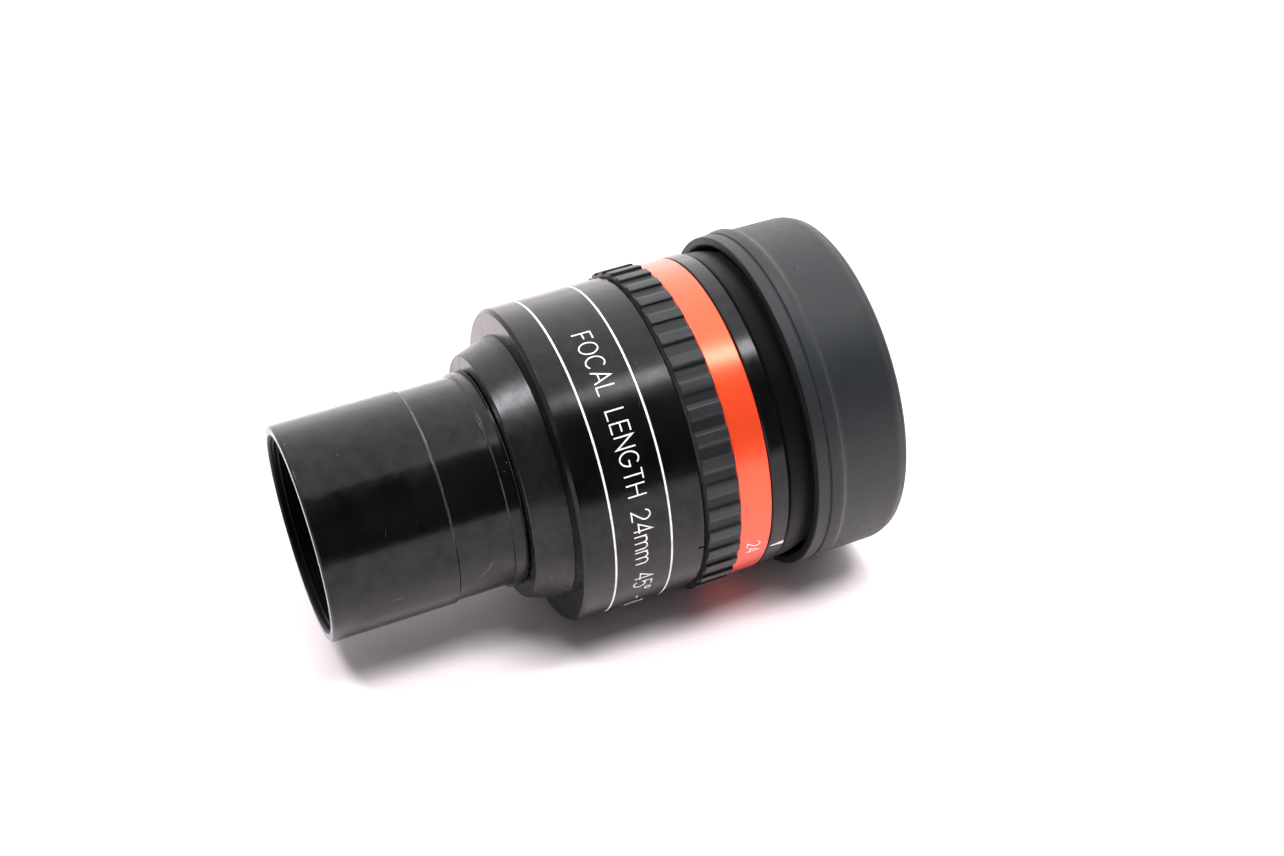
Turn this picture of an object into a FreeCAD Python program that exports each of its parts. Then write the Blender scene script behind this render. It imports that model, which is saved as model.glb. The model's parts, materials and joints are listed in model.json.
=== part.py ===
import FreeCAD, Part
import math
import os
from FreeCAD import Vector

# A zoom eyepiece for 31.75 mm (1.25 inch) telescope focusers, lying on its side.
# Lengths are millimetres. The optical axis is +X, from the nosepiece to the eye end, and +Z is up.
# The origin is on the axis at the shoulder, where a focuser's rim meets the neck.
# Sections are given as (x, r): station along the axis and radius from it.
# Angles round the axis are degrees from +Y towards +Z.

PART_FOLDER = "parts"
AXIS_POINT = Vector(0, 0, 0)
AXIS_DIRECTION = Vector(1, 0, 0)
FULL_TURN = 360.0

# Nosepiece
BARREL_R = 31.75 / 2
NOSE_LENGTH = 28.7
SLEEVE_LENGTH = 18.45
RIM_X = -NOSE_LENGTH
SEAM_X = RIM_X + SLEEVE_LENGTH
RIM_CHAMFER = 0.3
RIM_INNER_R = 14.6
FILTER_THREAD_R = 28.5 / 2
FILTER_THREAD_DEPTH = 5.5
SLEEVE_BORE_R = 14.5
ADAPTER_R = 15.6
ADAPTER_BORE_R = 13.6
ADAPTER_SPIGOT_R = 14.7
ADAPTER_SPIGOT_LENGTH = 4.5
ADAPTER_EDGE = 0.15
COLLAR_R = 16.05
COLLAR_FRONT_X = -2.15
COLLAR_EDGE = 0.25
COLLAR_SEAT_DEPTH = 0.3
REAR_SPIGOT_R = 14.9
REAR_SPIGOT_END_X = 5.0

# Neck and main body
NECK_FRONT_R = 18.3
NECK_REAR_R = 19.94
NECK_EDGE = 0.2
NECK_SEAT_R = 16.1
NECK_SPIGOT_R = 17.0
NECK_SPIGOT_LENGTH = 1.2
BODY_FRONT_X = 5.2
BODY_REAR_X = 23.36
BODY_R = 23.65
BODY_FRONT_CHAMFER = 0.5
BODY_REAR_CHAMFER = 0.2
BODY_BORE_R = 20.6
BODY_WALL_X = 8.2
LINE_GROOVE_STATIONS = (9.83, 18.25)
LINE_GROOVE_WIDTH = 0.3
LINE_GROOVE_DEPTH = 0.12
NOTCH_ANGLE = 192.0
NOTCH_LENGTH = 1.0
NOTCH_WIDTH = 0.35
NOTCH_DEPTH = 0.7

# Guide tube and cam tube, one turning on the other
GUIDE_BORE_R = 17.0
GUIDE_R = 18.4
GUIDE_REAR_X = 40.0
RUNNING_GAP = 0.05
CAM_BORE_R = GUIDE_R + RUNNING_GAP
CAM_R = 19.9
CAM_FRONT_X = 8.6
CAM_REAR_X = 33.3
CAM_FLANGE_X = 32.1
CAM_FLANGE_R = 22.2

# Zoom motion: half a turn drives the field group forward and the middle group back
ZOOM_TURN = 180.0
FIELD_TRAVEL = 12.0
MIDDLE_TRAVEL = 6.0
FIELD_PIN_X = 21.5
MIDDLE_PIN_X = 25.0
FOLLOWER_COUNT = 3
FOLLOWER_R = 1.0
FOLLOWER_TIP_R = 19.6
FOLLOWER_ROOT_R = 15.0
FIELD_PIN_ANGLE = 90.0
MIDDLE_PIN_ANGLE = 150.0
SLOT_HALF_WIDTH = FOLLOWER_R + RUNNING_GAP
SLOT_REACH = 1.5
SLOT_STEPS = 12
SLOT_END_R = 1.15

# Zoom ring: hub, rubber grip and scale ring
HUB_FRONT_X = 23.7
HUB_R = 22.4
GRIP_FRONT_X = 23.67
GRIP_REAR_X = 28.57
GRIP_PAD_R = 24.45
GRIP_GROOVE_R = 24.03
GRIP_PAD_COUNT = 40
GRIP_PAD_START = 94.5
GRIP_PAD_SHARE = 0.5
SCALE_FRONT_X = 28.6
SCALE_REAR_X = 33.58
SCALE_R = 23.95
SCALE_EDGE = 0.15
HUB_SCREW_PITCH_R = 21.0
HUB_SCREW_ANGLE = 30.0
HUB_SCREW_COUNT = 3
HUB_SCREW_R = 0.8
HUB_SCREW_HEAD_R = 1.15
HUB_SCREW_HEAD_DEPTH = 0.7
HUB_SCREW_TIP_X = 27.5
SCREW_SLOT_WIDTH = 0.35
SCREW_SLOT_DEPTH = 0.3
STOP_PIN_R = 0.7
STOP_PIN_ANGLE = 350.0
STOP_PIN_FRONT_X = 30.0
STOP_PIN_REAR_X = 34.7
STOP_GROOVE_HALF_WIDTH = 0.8
STOP_GROOVE_BOTTOM_X = 34.9
GLIDE_FRONT_INNER_R = 20.8
GLIDE_FRONT_OUTER_R = 22.1
GLIDE_REAR_INNER_R = 18.6
GLIDE_REAR_OUTER_R = 19.9
GLIDE_GAP = 0.04

# Eye head: the index flange and the tube that carries the eye lenses
INDEX_FRONT_X = 33.7
INDEX_REAR_X = 36.26
INDEX_R = 23.98
INDEX_EDGE = 0.15
HEAD_R = 21.5
HEAD_REAR_X = 50.2
GRUB_X = 38.5
GRUB_R = 1.0
GRUB_COUNT = 3
GRUB_ANGLE = 40.0
GRUB_ROOT_R = 17.6
GRUB_TIP_R = 21.3
GRUB_SOCKET_R = 0.5
GRUB_SOCKET_DEPTH = 0.9

# Eyecup, folded back over itself
EYECUP_FRONT_X = 36.55
EYECUP_NECK_R = 23.65
EYECUP_LIP_X = 39.98
EYECUP_LIP_R = 25.5
EYECUP_GROOVE_X = 42.03
EYECUP_STEP_X = 44.0
EYECUP_MAX_R = 25.88
EYECUP_SKIRT_R = 25.4
EYECUP_FOLD_X = 53.95
EYECUP_END_X = 54.93
EYECUP_MOUTH_R = 19.7

# Lens groups, in the position for the longest focal length
FIELD_CELL_FRONT_X = -3.2
FIELD_FLANGE_X = 18.6
FIELD_FLANGE_REAR_X = 23.2
FIELD_SNOUT_R = 13.4
FIELD_BORE_R = 11.0
FIELD_LENS_R = 12.0
FIELD_LENS_VERTEX_X = 0.0
CELL_R = GUIDE_BORE_R - RUNNING_GAP
MIDDLE_CELL_FRONT_X = 23.6
MIDDLE_CELL_REAR_X = 30.6
MIDDLE_LENS_R = 13.5
MIDDLE_LENS_VERTEX_X = 24.7
MIDDLE_LIP_R = 12.6
MIDDLE_RETAINER_SINK = 0.2
FIELD_STOP_X = 23.9
FIELD_STOP_THICKNESS = 0.6
FIELD_STOP_R = 9.5
EYE_CELL_FRONT_X = 40.3
EYE_CELL_REAR_X = 52.4
EYE_LIP_X = 41.3
EYE_LIP_R = 12.0
EYE_LENS_R = 13.0
EYE_GAP = 0.4
EYE_CELL_EDGE = 0.35
SPACER_WALL = 0.8
SPACER_RELIEF = 0.01
RETAINER_WALL = 1.1
RETAINER_SLOT_WIDTH = 1.2
RETAINER_SLOT_DEPTH = 0.5

# Lens surfaces: radius of curvature, positive where the centre lies towards the eye
PLANE = 0.0
FIELD_SURFACES = (-40.0, 28.0, 70.0)
FIELD_THICKNESSES = (1.2, 2.6)
MIDDLE_SURFACES = (60.0, -50.0, -150.0)
MIDDLE_THICKNESSES = (4.1, 1.1)
EYE_DOUBLET_SURFACES = (PLANE, 38.0, -45.0)
EYE_DOUBLET_THICKNESSES = (1.2, 5.4)
EYE_SINGLET_SURFACES = (70.0, -200.0)
EYE_SINGLET_THICKNESS = 3.14


def save(name, shape):
    """Write one sub-part to its STEP file."""
    shape.exportStep(os.path.join(PART_FOLDER, name + ".step"))


def section_point(station):
    """A point of a section, from its (x, r)."""
    return Vector(station[0], 0, station[1])


def turned(outline):
    """A solid of revolution. Each item is a corner (x, r) or an arc (middle, end) of two such."""
    edges = []
    first = section_point(outline[0])
    here = first
    for item in outline[1:]:
        if isinstance(item[0], tuple):
            end = section_point(item[1])
            edges.append(Part.Arc(here, section_point(item[0]), end).toShape())
        else:
            end = section_point(item)
            edges.append(Part.LineSegment(here, end).toShape())
        here = end
    edges.append(Part.LineSegment(here, first).toShape())
    return Part.Face(Part.Wire(edges)).revolve(AXIS_POINT, AXIS_DIRECTION, FULL_TURN)


def tube(front_x, rear_x, inner_r, outer_r):
    """A plain ring between two stations."""
    return turned([(front_x, inner_r), (front_x, outer_r), (rear_x, outer_r), (rear_x, inner_r)])


def outward(angle):
    """The unit vector that points away from the axis at an angle."""
    return Vector(0, math.cos(math.radians(angle)), math.sin(math.radians(angle)))


def radial_rod(x, angle, root_r, tip_r, rod_r):
    """A round rod that stands out from the axis."""
    base = Vector(x, 0, 0) + outward(angle) * root_r
    return Part.makeCylinder(rod_r, tip_r - root_r, base, outward(angle))


def axial_rod(front_x, rear_x, pitch_r, angle, rod_r):
    """A round rod parallel to the axis."""
    base = Vector(front_x, 0, 0) + outward(angle) * pitch_r
    return Part.makeCylinder(rod_r, rear_x - front_x, base, AXIS_DIRECTION)


def turned_about_axis(shape, angle):
    """A copy of a shape, turned about the optical axis."""
    copy = shape.copy()
    copy.rotate(AXIS_POINT, AXIS_DIRECTION, angle)
    return copy


def evenly_round(shape, count):
    """Copies of a shape, evenly spaced round the axis."""
    return [turned_about_axis(shape, FULL_TURN * step / count) for step in range(count)]


def straight_slot(front_x, rear_x, angle):
    """A cutter for a slot with round ends, along the axis through a tube's wall."""
    root_r = GUIDE_BORE_R - SLOT_REACH
    tip_r = GUIDE_R + SLOT_REACH
    corner = Vector(front_x, root_r, -SLOT_HALF_WIDTH)
    middle = Part.makeBox(rear_x - front_x, tip_r - root_r, 2 * SLOT_HALF_WIDTH, corner)
    ends = [radial_rod(x, 0, root_r, tip_r, SLOT_HALF_WIDTH) for x in (front_x, rear_x)]
    return turned_about_axis(middle.fuse(ends), angle)


def helical_slot(front_x, rear_x, front_angle, turn):
    """Cutters for one cam slot: a ruled helix through the cam tube's wall and its two drilled ends."""
    middle_r = (CAM_BORE_R + CAM_R) / 2
    climb = rear_x - front_x
    slope = math.atan(climb / (math.radians(abs(turn)) * middle_r))
    half_width = SLOT_HALF_WIDTH / math.cos(slope)
    root = middle_r - SLOT_REACH
    tip = middle_r + SLOT_REACH
    sections = []
    for step in range(SLOT_STEPS + 1):
        x = front_x + climb * step / SLOT_STEPS
        out = outward(front_angle + turn * step / SLOT_STEPS)
        low = Vector(x - half_width, 0, 0)
        high = Vector(x + half_width, 0, 0)
        corners = [low + out * root, high + out * root, high + out * tip, low + out * tip]
        sections.append(Part.makePolygon(corners + corners[:1]))
    ends = [
        radial_rod(x, angle, root, tip, SLOT_END_R)
        for x, angle in ((front_x, front_angle), (rear_x, front_angle + turn))
    ]
    return [Part.makeLoft(sections, True, True)] + ends


def sag(radius, r):
    """How far behind its vertex a lens surface lies at radius r."""
    if radius == PLANE:
        return 0.0
    return radius - math.copysign(math.sqrt(radius * radius - r * r), radius)


def surface_x(vertex_x, radius, r):
    """The station of a lens surface at radius r."""
    return vertex_x + sag(radius, r)


def lens(vertex_x, thickness, front_radius, rear_radius, edge_r):
    """A lens element with spherical or plane faces and a ground cylindrical edge."""
    rear_x = vertex_x + thickness
    half_r = edge_r / 2
    front_edge = (surface_x(vertex_x, front_radius, edge_r), edge_r)
    rear_edge = (surface_x(rear_x, rear_radius, edge_r), edge_r)
    front_middle = (surface_x(vertex_x, front_radius, half_r), half_r)
    rear_middle = (surface_x(rear_x, rear_radius, half_r), half_r)
    front = front_edge if front_radius == PLANE else (front_middle, front_edge)
    rear = (rear_x, 0) if rear_radius == PLANE else (rear_middle, (rear_x, 0))
    return turned([(vertex_x, 0), front, rear_edge, rear])


def doublet(vertex_x, thicknesses, surfaces, edge_r):
    """Two cemented elements that share their middle surface."""
    front = lens(vertex_x, thicknesses[0], surfaces[0], surfaces[1], edge_r)
    rear = lens(vertex_x + thicknesses[0], thicknesses[1], surfaces[1], surfaces[2], edge_r)
    return front, rear


def retaining_ring(front_x, rear_x, outer_r, slots_face_eye):
    """A threaded lens retainer with two spanner slots across one face."""
    ring = tube(front_x, rear_x, outer_r - RETAINER_WALL, outer_r)
    slot_x = rear_x - RETAINER_SLOT_DEPTH if slots_face_eye else front_x
    corner = Vector(slot_x, -RETAINER_SLOT_WIDTH / 2, -outer_r)
    return ring.cut(Part.makeBox(RETAINER_SLOT_DEPTH, RETAINER_SLOT_WIDTH, 2 * outer_r, corner))


def follower_pins(x, angle):
    """The pins that join a lens cell to the cam tube through the guide tube's slots."""
    pin = radial_rod(x, angle, FOLLOWER_ROOT_R, FOLLOWER_TIP_R, FOLLOWER_R)
    return evenly_round(pin, FOLLOWER_COUNT)


def nosepiece_sleeve():
    seat_x = SEAM_X - ADAPTER_SPIGOT_LENGTH
    thread_x = RIM_X + FILTER_THREAD_DEPTH
    return turned([
        (RIM_X, RIM_INNER_R),
        (RIM_X, BARREL_R - RIM_CHAMFER),
        (RIM_X + RIM_CHAMFER, BARREL_R),
        (SEAM_X, BARREL_R),
        (SEAM_X, ADAPTER_SPIGOT_R),
        (seat_x, ADAPTER_SPIGOT_R),
        (seat_x, SLEEVE_BORE_R),
        (thread_x, SLEEVE_BORE_R),
        (thread_x, FILTER_THREAD_R),
        (RIM_X + RIM_INNER_R - FILTER_THREAD_R, FILTER_THREAD_R),
    ])


def nosepiece_adapter():
    spigot_x = SEAM_X - ADAPTER_SPIGOT_LENGTH
    return turned([
        (spigot_x, ADAPTER_BORE_R),
        (spigot_x, ADAPTER_SPIGOT_R),
        (SEAM_X, ADAPTER_SPIGOT_R),
        (SEAM_X, ADAPTER_R - ADAPTER_EDGE),
        (SEAM_X + ADAPTER_EDGE, ADAPTER_R),
        (COLLAR_FRONT_X, ADAPTER_R),
        (COLLAR_FRONT_X, COLLAR_R),
        (-COLLAR_EDGE, COLLAR_R),
        (0, COLLAR_R - COLLAR_EDGE),
        (COLLAR_SEAT_DEPTH, COLLAR_R - COLLAR_EDGE),
        (COLLAR_SEAT_DEPTH, REAR_SPIGOT_R),
        (REAR_SPIGOT_END_X, REAR_SPIGOT_R),
        (REAR_SPIGOT_END_X, ADAPTER_BORE_R),
    ])


def neck_cone():
    """The neck, with a shallow counterbore in its face that takes the nosepiece's collar."""
    spigot_end_x = BODY_FRONT_X + NECK_SPIGOT_LENGTH
    return turned([
        (COLLAR_SEAT_DEPTH, REAR_SPIGOT_R),
        (COLLAR_SEAT_DEPTH, NECK_SEAT_R),
        (0, NECK_SEAT_R),
        (0, NECK_FRONT_R - NECK_EDGE),
        (NECK_EDGE, NECK_FRONT_R),
        (BODY_FRONT_X, NECK_REAR_R),
        (BODY_FRONT_X, NECK_SPIGOT_R),
        (spigot_end_x, NECK_SPIGOT_R),
        (spigot_end_x, REAR_SPIGOT_R),
    ])


def main_body():
    shell = turned([
        (BODY_FRONT_X, GUIDE_R),
        (BODY_FRONT_X, BODY_R - BODY_FRONT_CHAMFER),
        (BODY_FRONT_X + BODY_FRONT_CHAMFER, BODY_R),
        (BODY_REAR_X - BODY_REAR_CHAMFER, BODY_R),
        (BODY_REAR_X, BODY_R - BODY_REAR_CHAMFER),
        (BODY_REAR_X, BODY_BORE_R),
        (BODY_WALL_X, BODY_BORE_R),
        (BODY_WALL_X, GUIDE_R),
    ])
    for x in LINE_GROOVE_STATIONS:
        half = LINE_GROOVE_WIDTH / 2
        shell = shell.cut(tube(x - half, x + half, BODY_R - LINE_GROOVE_DEPTH, BODY_R + 1))
    corner = Vector(BODY_REAR_X - NOTCH_LENGTH, BODY_R - NOTCH_DEPTH, -NOTCH_WIDTH / 2)
    notch = Part.makeBox(2 * NOTCH_LENGTH, 2 * NOTCH_DEPTH, NOTCH_WIDTH, corner)
    return shell.cut(turned_about_axis(notch, NOTCH_ANGLE))


def guide_tube():
    body = tube(BODY_FRONT_X, GUIDE_REAR_X, GUIDE_BORE_R, GUIDE_R)
    field_slot = straight_slot(FIELD_PIN_X - FIELD_TRAVEL, FIELD_PIN_X, FIELD_PIN_ANGLE)
    middle_slot = straight_slot(MIDDLE_PIN_X, MIDDLE_PIN_X + MIDDLE_TRAVEL, MIDDLE_PIN_ANGLE)
    cutters = evenly_round(field_slot, FOLLOWER_COUNT) + evenly_round(middle_slot, FOLLOWER_COUNT)
    return body.cut(cutters + grub_holes())


def cam_tube():
    body = turned([
        (CAM_FRONT_X, CAM_BORE_R),
        (CAM_FRONT_X, CAM_R),
        (CAM_FLANGE_X, CAM_R),
        (CAM_FLANGE_X, CAM_FLANGE_R),
        (CAM_REAR_X, CAM_FLANGE_R),
        (CAM_REAR_X, CAM_BORE_R),
    ])
    field_front_x = FIELD_PIN_X - FIELD_TRAVEL
    field_front_angle = FIELD_PIN_ANGLE + ZOOM_TURN
    middle_rear_x = MIDDLE_PIN_X + MIDDLE_TRAVEL
    cutters = helical_slot(field_front_x, FIELD_PIN_X, field_front_angle, -ZOOM_TURN)
    cutters += helical_slot(MIDDLE_PIN_X, middle_rear_x, MIDDLE_PIN_ANGLE, ZOOM_TURN)
    for cutter in cutters:
        body = body.cut(evenly_round(cutter, FOLLOWER_COUNT))
    return body.cut(hub_screws(False) + [stop_pin()])


def zoom_hub():
    body = tube(HUB_FRONT_X, CAM_FLANGE_X, CAM_R, HUB_R)
    return body.cut(hub_screws(False) + [stop_pin()])


def hub_screws(slotted):
    """Countersunk screws that hold the hub to the cam tube's flange."""
    shank = axial_rod(HUB_SCREW_TIP_X, CAM_REAR_X, HUB_SCREW_PITCH_R, 0, HUB_SCREW_R)
    head_x = CAM_REAR_X - HUB_SCREW_HEAD_DEPTH
    centre = Vector(head_x, HUB_SCREW_PITCH_R, 0)
    head = Part.makeCone(HUB_SCREW_R, HUB_SCREW_HEAD_R, HUB_SCREW_HEAD_DEPTH, centre, AXIS_DIRECTION)
    screw = shank.fuse(head)
    if slotted:
        slot_x = CAM_REAR_X - SCREW_SLOT_DEPTH
        corner = Vector(slot_x, HUB_SCREW_PITCH_R - HUB_SCREW_HEAD_R, -SCREW_SLOT_WIDTH / 2)
        screw = screw.cut(Part.makeBox(SCREW_SLOT_DEPTH, 2 * HUB_SCREW_HEAD_R, SCREW_SLOT_WIDTH, corner))
    return evenly_round(turned_about_axis(screw, HUB_SCREW_ANGLE), HUB_SCREW_COUNT)


def stop_pin():
    return axial_rod(STOP_PIN_FRONT_X, STOP_PIN_REAR_X, HUB_SCREW_PITCH_R, STOP_PIN_ANGLE, STOP_PIN_R)


def stop_groove():
    """The cutter for the blind groove that the stop pin runs in; its two ends stop the zoom ring."""
    front_x = INDEX_FRONT_X - 1
    rear_x = STOP_GROOVE_BOTTOM_X
    inner_r = HUB_SCREW_PITCH_R - STOP_GROOVE_HALF_WIDTH
    outer_r = HUB_SCREW_PITCH_R + STOP_GROOVE_HALF_WIDTH
    corners = [(front_x, inner_r), (front_x, outer_r), (rear_x, outer_r), (rear_x, inner_r)]
    face = Part.Face(Part.makePolygon([section_point(corner) for corner in corners + corners[:1]]))
    # The section lies at 90 degrees round the axis; the pin travels back from where it stands at rest.
    arc = face.revolve(AXIS_POINT, AXIS_DIRECTION, -ZOOM_TURN)
    arc.rotate(AXIS_POINT, AXIS_DIRECTION, STOP_PIN_ANGLE - 90)
    ends = [
        axial_rod(front_x, rear_x, HUB_SCREW_PITCH_R, angle, STOP_GROOVE_HALF_WIDTH)
        for angle in (STOP_PIN_ANGLE, STOP_PIN_ANGLE - ZOOM_TURN)
    ]
    return arc.fuse(ends)


def step_and_arc(start, end, old_r, new_r):
    """A radial step at one angle, then an arc at the new radius to another angle."""
    corner = outward(start) * new_r
    step = Part.LineSegment(outward(start) * old_r, corner)
    arc = Part.Arc(corner, outward((start + end) / 2) * new_r, outward(end) * new_r)
    return [step.toShape(), arc.toShape()]


def grip_rubber():
    """A band of raised pads and equal gaps, all flat along the axis."""
    pitch = FULL_TURN / GRIP_PAD_COUNT
    edges = []
    for index in range(GRIP_PAD_COUNT):
        start = GRIP_PAD_START + index * pitch
        pad_end = start + pitch * GRIP_PAD_SHARE
        edges += step_and_arc(start, pad_end, GRIP_GROOVE_R, GRIP_PAD_R)
        edges += step_and_arc(pad_end, start + pitch, GRIP_PAD_R, GRIP_GROOVE_R)
    band = Part.Face(Part.Wire(edges)).extrude(Vector(GRIP_REAR_X - GRIP_FRONT_X, 0, 0))
    band.translate(Vector(GRIP_FRONT_X, 0, 0))
    return band.cut(tube(GRIP_FRONT_X - 1, GRIP_REAR_X + 1, 0, HUB_R))


def scale_ring():
    return turned([
        (SCALE_FRONT_X, HUB_R),
        (SCALE_FRONT_X, SCALE_R - SCALE_EDGE),
        (SCALE_FRONT_X + SCALE_EDGE, SCALE_R),
        (SCALE_REAR_X - SCALE_EDGE, SCALE_R),
        (SCALE_REAR_X, SCALE_R - SCALE_EDGE),
        (SCALE_REAR_X, HUB_R),
    ])


def grub_holes():
    hole = radial_rod(GRUB_X, GRUB_ANGLE, GRUB_ROOT_R, GRUB_TIP_R, GRUB_R)
    return evenly_round(hole, GRUB_COUNT)


def head_grub_screws():
    screw = radial_rod(GRUB_X, GRUB_ANGLE, GRUB_ROOT_R, GRUB_TIP_R, GRUB_R)
    corners = []
    for corner in range(7):
        turn = math.radians(corner * 60)
        corners.append(Vector(math.cos(turn), 0, math.sin(turn)) * GRUB_SOCKET_R)
    socket = Part.Face(Part.makePolygon(corners)).extrude(Vector(0, 2 * GRUB_SOCKET_DEPTH, 0))
    socket.translate(Vector(GRUB_X, GRUB_TIP_R - GRUB_SOCKET_DEPTH, 0))
    return evenly_round(screw.cut(turned_about_axis(socket, GRUB_ANGLE)), GRUB_COUNT)


def eye_head():
    body = turned([
        (INDEX_FRONT_X, GUIDE_R),
        (INDEX_FRONT_X, INDEX_R - INDEX_EDGE),
        (INDEX_FRONT_X + INDEX_EDGE, INDEX_R),
        (INDEX_REAR_X - INDEX_EDGE, INDEX_R),
        (INDEX_REAR_X, INDEX_R - INDEX_EDGE),
        (INDEX_REAR_X, HEAD_R),
        (HEAD_REAR_X, HEAD_R),
        (HEAD_REAR_X, GUIDE_R),
    ])
    hole = radial_rod(GRUB_X, GRUB_ANGLE, GUIDE_R - 1, HEAD_R + 1, GRUB_R)
    return body.cut([stop_groove()] + evenly_round(hole, GRUB_COUNT))


def eyecup_rubber():
    """The eyecup in its folded state: a sleeve on the head, a fold at the eye end and a skirt."""
    return turned([
        (EYECUP_FRONT_X, HEAD_R),
        (EYECUP_FRONT_X, EYECUP_NECK_R - 0.4),
        ((EYECUP_FRONT_X + 0.12, EYECUP_NECK_R - 0.12), (EYECUP_FRONT_X + 0.4, EYECUP_NECK_R)),
        (EYECUP_FRONT_X + 1.5, EYECUP_NECK_R),
        ((EYECUP_FRONT_X + 3.3, EYECUP_NECK_R - 0.25), (EYECUP_FRONT_X + 5.0, EYECUP_NECK_R - 0.9)),
        (50.9, 22.6),
        ((51.4, 23.1), (50.9, 23.6)),
        (EYECUP_LIP_X + 0.5, 24.1),
        ((EYECUP_LIP_X + 0.12, 24.27), (EYECUP_LIP_X, 24.6)),
        (EYECUP_LIP_X, EYECUP_LIP_R - 0.3),
        ((EYECUP_LIP_X + 0.09, EYECUP_LIP_R - 0.09), (EYECUP_LIP_X + 0.3, EYECUP_LIP_R)),
        (EYECUP_GROOVE_X - 0.25, EYECUP_LIP_R + 0.08),
        (EYECUP_GROOVE_X, EYECUP_LIP_R - 0.27),
        (EYECUP_GROOVE_X + 0.25, EYECUP_LIP_R + 0.14),
        (EYECUP_STEP_X - 0.7, EYECUP_MAX_R),
        (EYECUP_STEP_X - 0.15, EYECUP_MAX_R),
        (EYECUP_STEP_X + 0.05, EYECUP_MAX_R - 0.12),
        ((EYECUP_STEP_X + 0.35, EYECUP_MAX_R - 0.33), (EYECUP_STEP_X + 1.0, EYECUP_SKIRT_R)),
        (EYECUP_FOLD_X - 1.4, EYECUP_SKIRT_R - 0.05),
        ((EYECUP_FOLD_X - 0.6, EYECUP_SKIRT_R - 0.15), (EYECUP_FOLD_X, EYECUP_SKIRT_R - 0.4)),
        ((EYECUP_FOLD_X + 0.7, EYECUP_SKIRT_R - 0.8), (EYECUP_END_X, EYECUP_SKIRT_R - 1.5)),
        (EYECUP_END_X, 21.6),
        ((EYECUP_END_X - 0.45, 20.55), (EYECUP_END_X - 1.5, 20.1)),
        (HEAD_REAR_X + 0.8, EYECUP_MOUTH_R),
        (HEAD_REAR_X, EYECUP_MOUTH_R),
        (HEAD_REAR_X, HEAD_R),
    ])


def field_cell():
    rear_vertex_x = FIELD_LENS_VERTEX_X + sum(FIELD_THICKNESSES)
    seat_end_x = surface_x(rear_vertex_x, FIELD_SURFACES[-1], FIELD_LENS_R)
    body = turned([
        (FIELD_CELL_FRONT_X, FIELD_LENS_R),
        (FIELD_CELL_FRONT_X, FIELD_SNOUT_R),
        (FIELD_FLANGE_X, FIELD_SNOUT_R),
        (FIELD_FLANGE_X, CELL_R),
        (FIELD_FLANGE_REAR_X, CELL_R),
        (FIELD_FLANGE_REAR_X, FIELD_BORE_R),
        (seat_end_x, FIELD_BORE_R),
        (seat_end_x, FIELD_LENS_R),
    ])
    return body.cut(follower_pins(FIELD_PIN_X, FIELD_PIN_ANGLE))


def field_retainer():
    rear_x = surface_x(FIELD_LENS_VERTEX_X, FIELD_SURFACES[0], FIELD_LENS_R)
    return retaining_ring(FIELD_CELL_FRONT_X, rear_x, FIELD_LENS_R, False)


def middle_cell():
    stop_end_x = FIELD_STOP_X + FIELD_STOP_THICKNESS
    seat_x = surface_x(MIDDLE_LENS_VERTEX_X, MIDDLE_SURFACES[0], MIDDLE_LIP_R)
    body = turned([
        (MIDDLE_CELL_FRONT_X, MIDDLE_LENS_R),
        (MIDDLE_CELL_FRONT_X, CELL_R),
        (MIDDLE_CELL_REAR_X, CELL_R),
        (MIDDLE_CELL_REAR_X, MIDDLE_LENS_R),
        (seat_x, MIDDLE_LENS_R),
        (seat_x, MIDDLE_LIP_R),
        (stop_end_x, MIDDLE_LIP_R),
        (stop_end_x, MIDDLE_LENS_R),
    ])
    return body.cut(follower_pins(MIDDLE_PIN_X, MIDDLE_PIN_ANGLE))


def field_stop():
    """The thin ring whose sharp inner edge bounds the view."""
    rear_x = FIELD_STOP_X + FIELD_STOP_THICKNESS
    return turned([
        (FIELD_STOP_X, FIELD_STOP_R),
        (FIELD_STOP_X, MIDDLE_LENS_R),
        (rear_x, MIDDLE_LENS_R),
        (rear_x, FIELD_STOP_R + FIELD_STOP_THICKNESS),
    ])


def middle_retainer():
    rear_vertex_x = MIDDLE_LENS_VERTEX_X + sum(MIDDLE_THICKNESSES)
    front_x = surface_x(rear_vertex_x, MIDDLE_SURFACES[-1], MIDDLE_LENS_R - RETAINER_WALL)
    return retaining_ring(front_x, MIDDLE_CELL_REAR_X - MIDDLE_RETAINER_SINK, MIDDLE_LENS_R, True)


def eye_lens_cell():
    return turned([
        (EYE_CELL_FRONT_X, EYE_LIP_R),
        (EYE_CELL_FRONT_X, GUIDE_R),
        (EYE_CELL_REAR_X - EYE_CELL_EDGE, GUIDE_R),
        (EYE_CELL_REAR_X, GUIDE_R - EYE_CELL_EDGE),
        (EYE_CELL_REAR_X, EYE_LENS_R + EYE_CELL_EDGE),
        (EYE_CELL_REAR_X - EYE_CELL_EDGE, EYE_LENS_R),
        (EYE_LIP_X, EYE_LENS_R),
        (EYE_LIP_X, EYE_LIP_R),
    ])


def eye_singlet_vertex_x():
    return EYE_LIP_X + sum(EYE_DOUBLET_THICKNESSES) + EYE_GAP


def eye_lens_spacer():
    """The ring between the doublet and the singlet, with seats bevelled to suit their bulging faces."""
    doublet_x = EYE_LIP_X + sum(EYE_DOUBLET_THICKNESSES)
    singlet_x = eye_singlet_vertex_x()
    outline = []
    for r in (EYE_LENS_R - SPACER_WALL, EYE_LENS_R):
        outline.append((surface_x(doublet_x, EYE_DOUBLET_SURFACES[-1], r) + SPACER_RELIEF, r))
    for r in (EYE_LENS_R, EYE_LENS_R - SPACER_WALL):
        outline.append((surface_x(singlet_x, EYE_SINGLET_SURFACES[0], r) - SPACER_RELIEF, r))
    return turned(outline)


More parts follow.
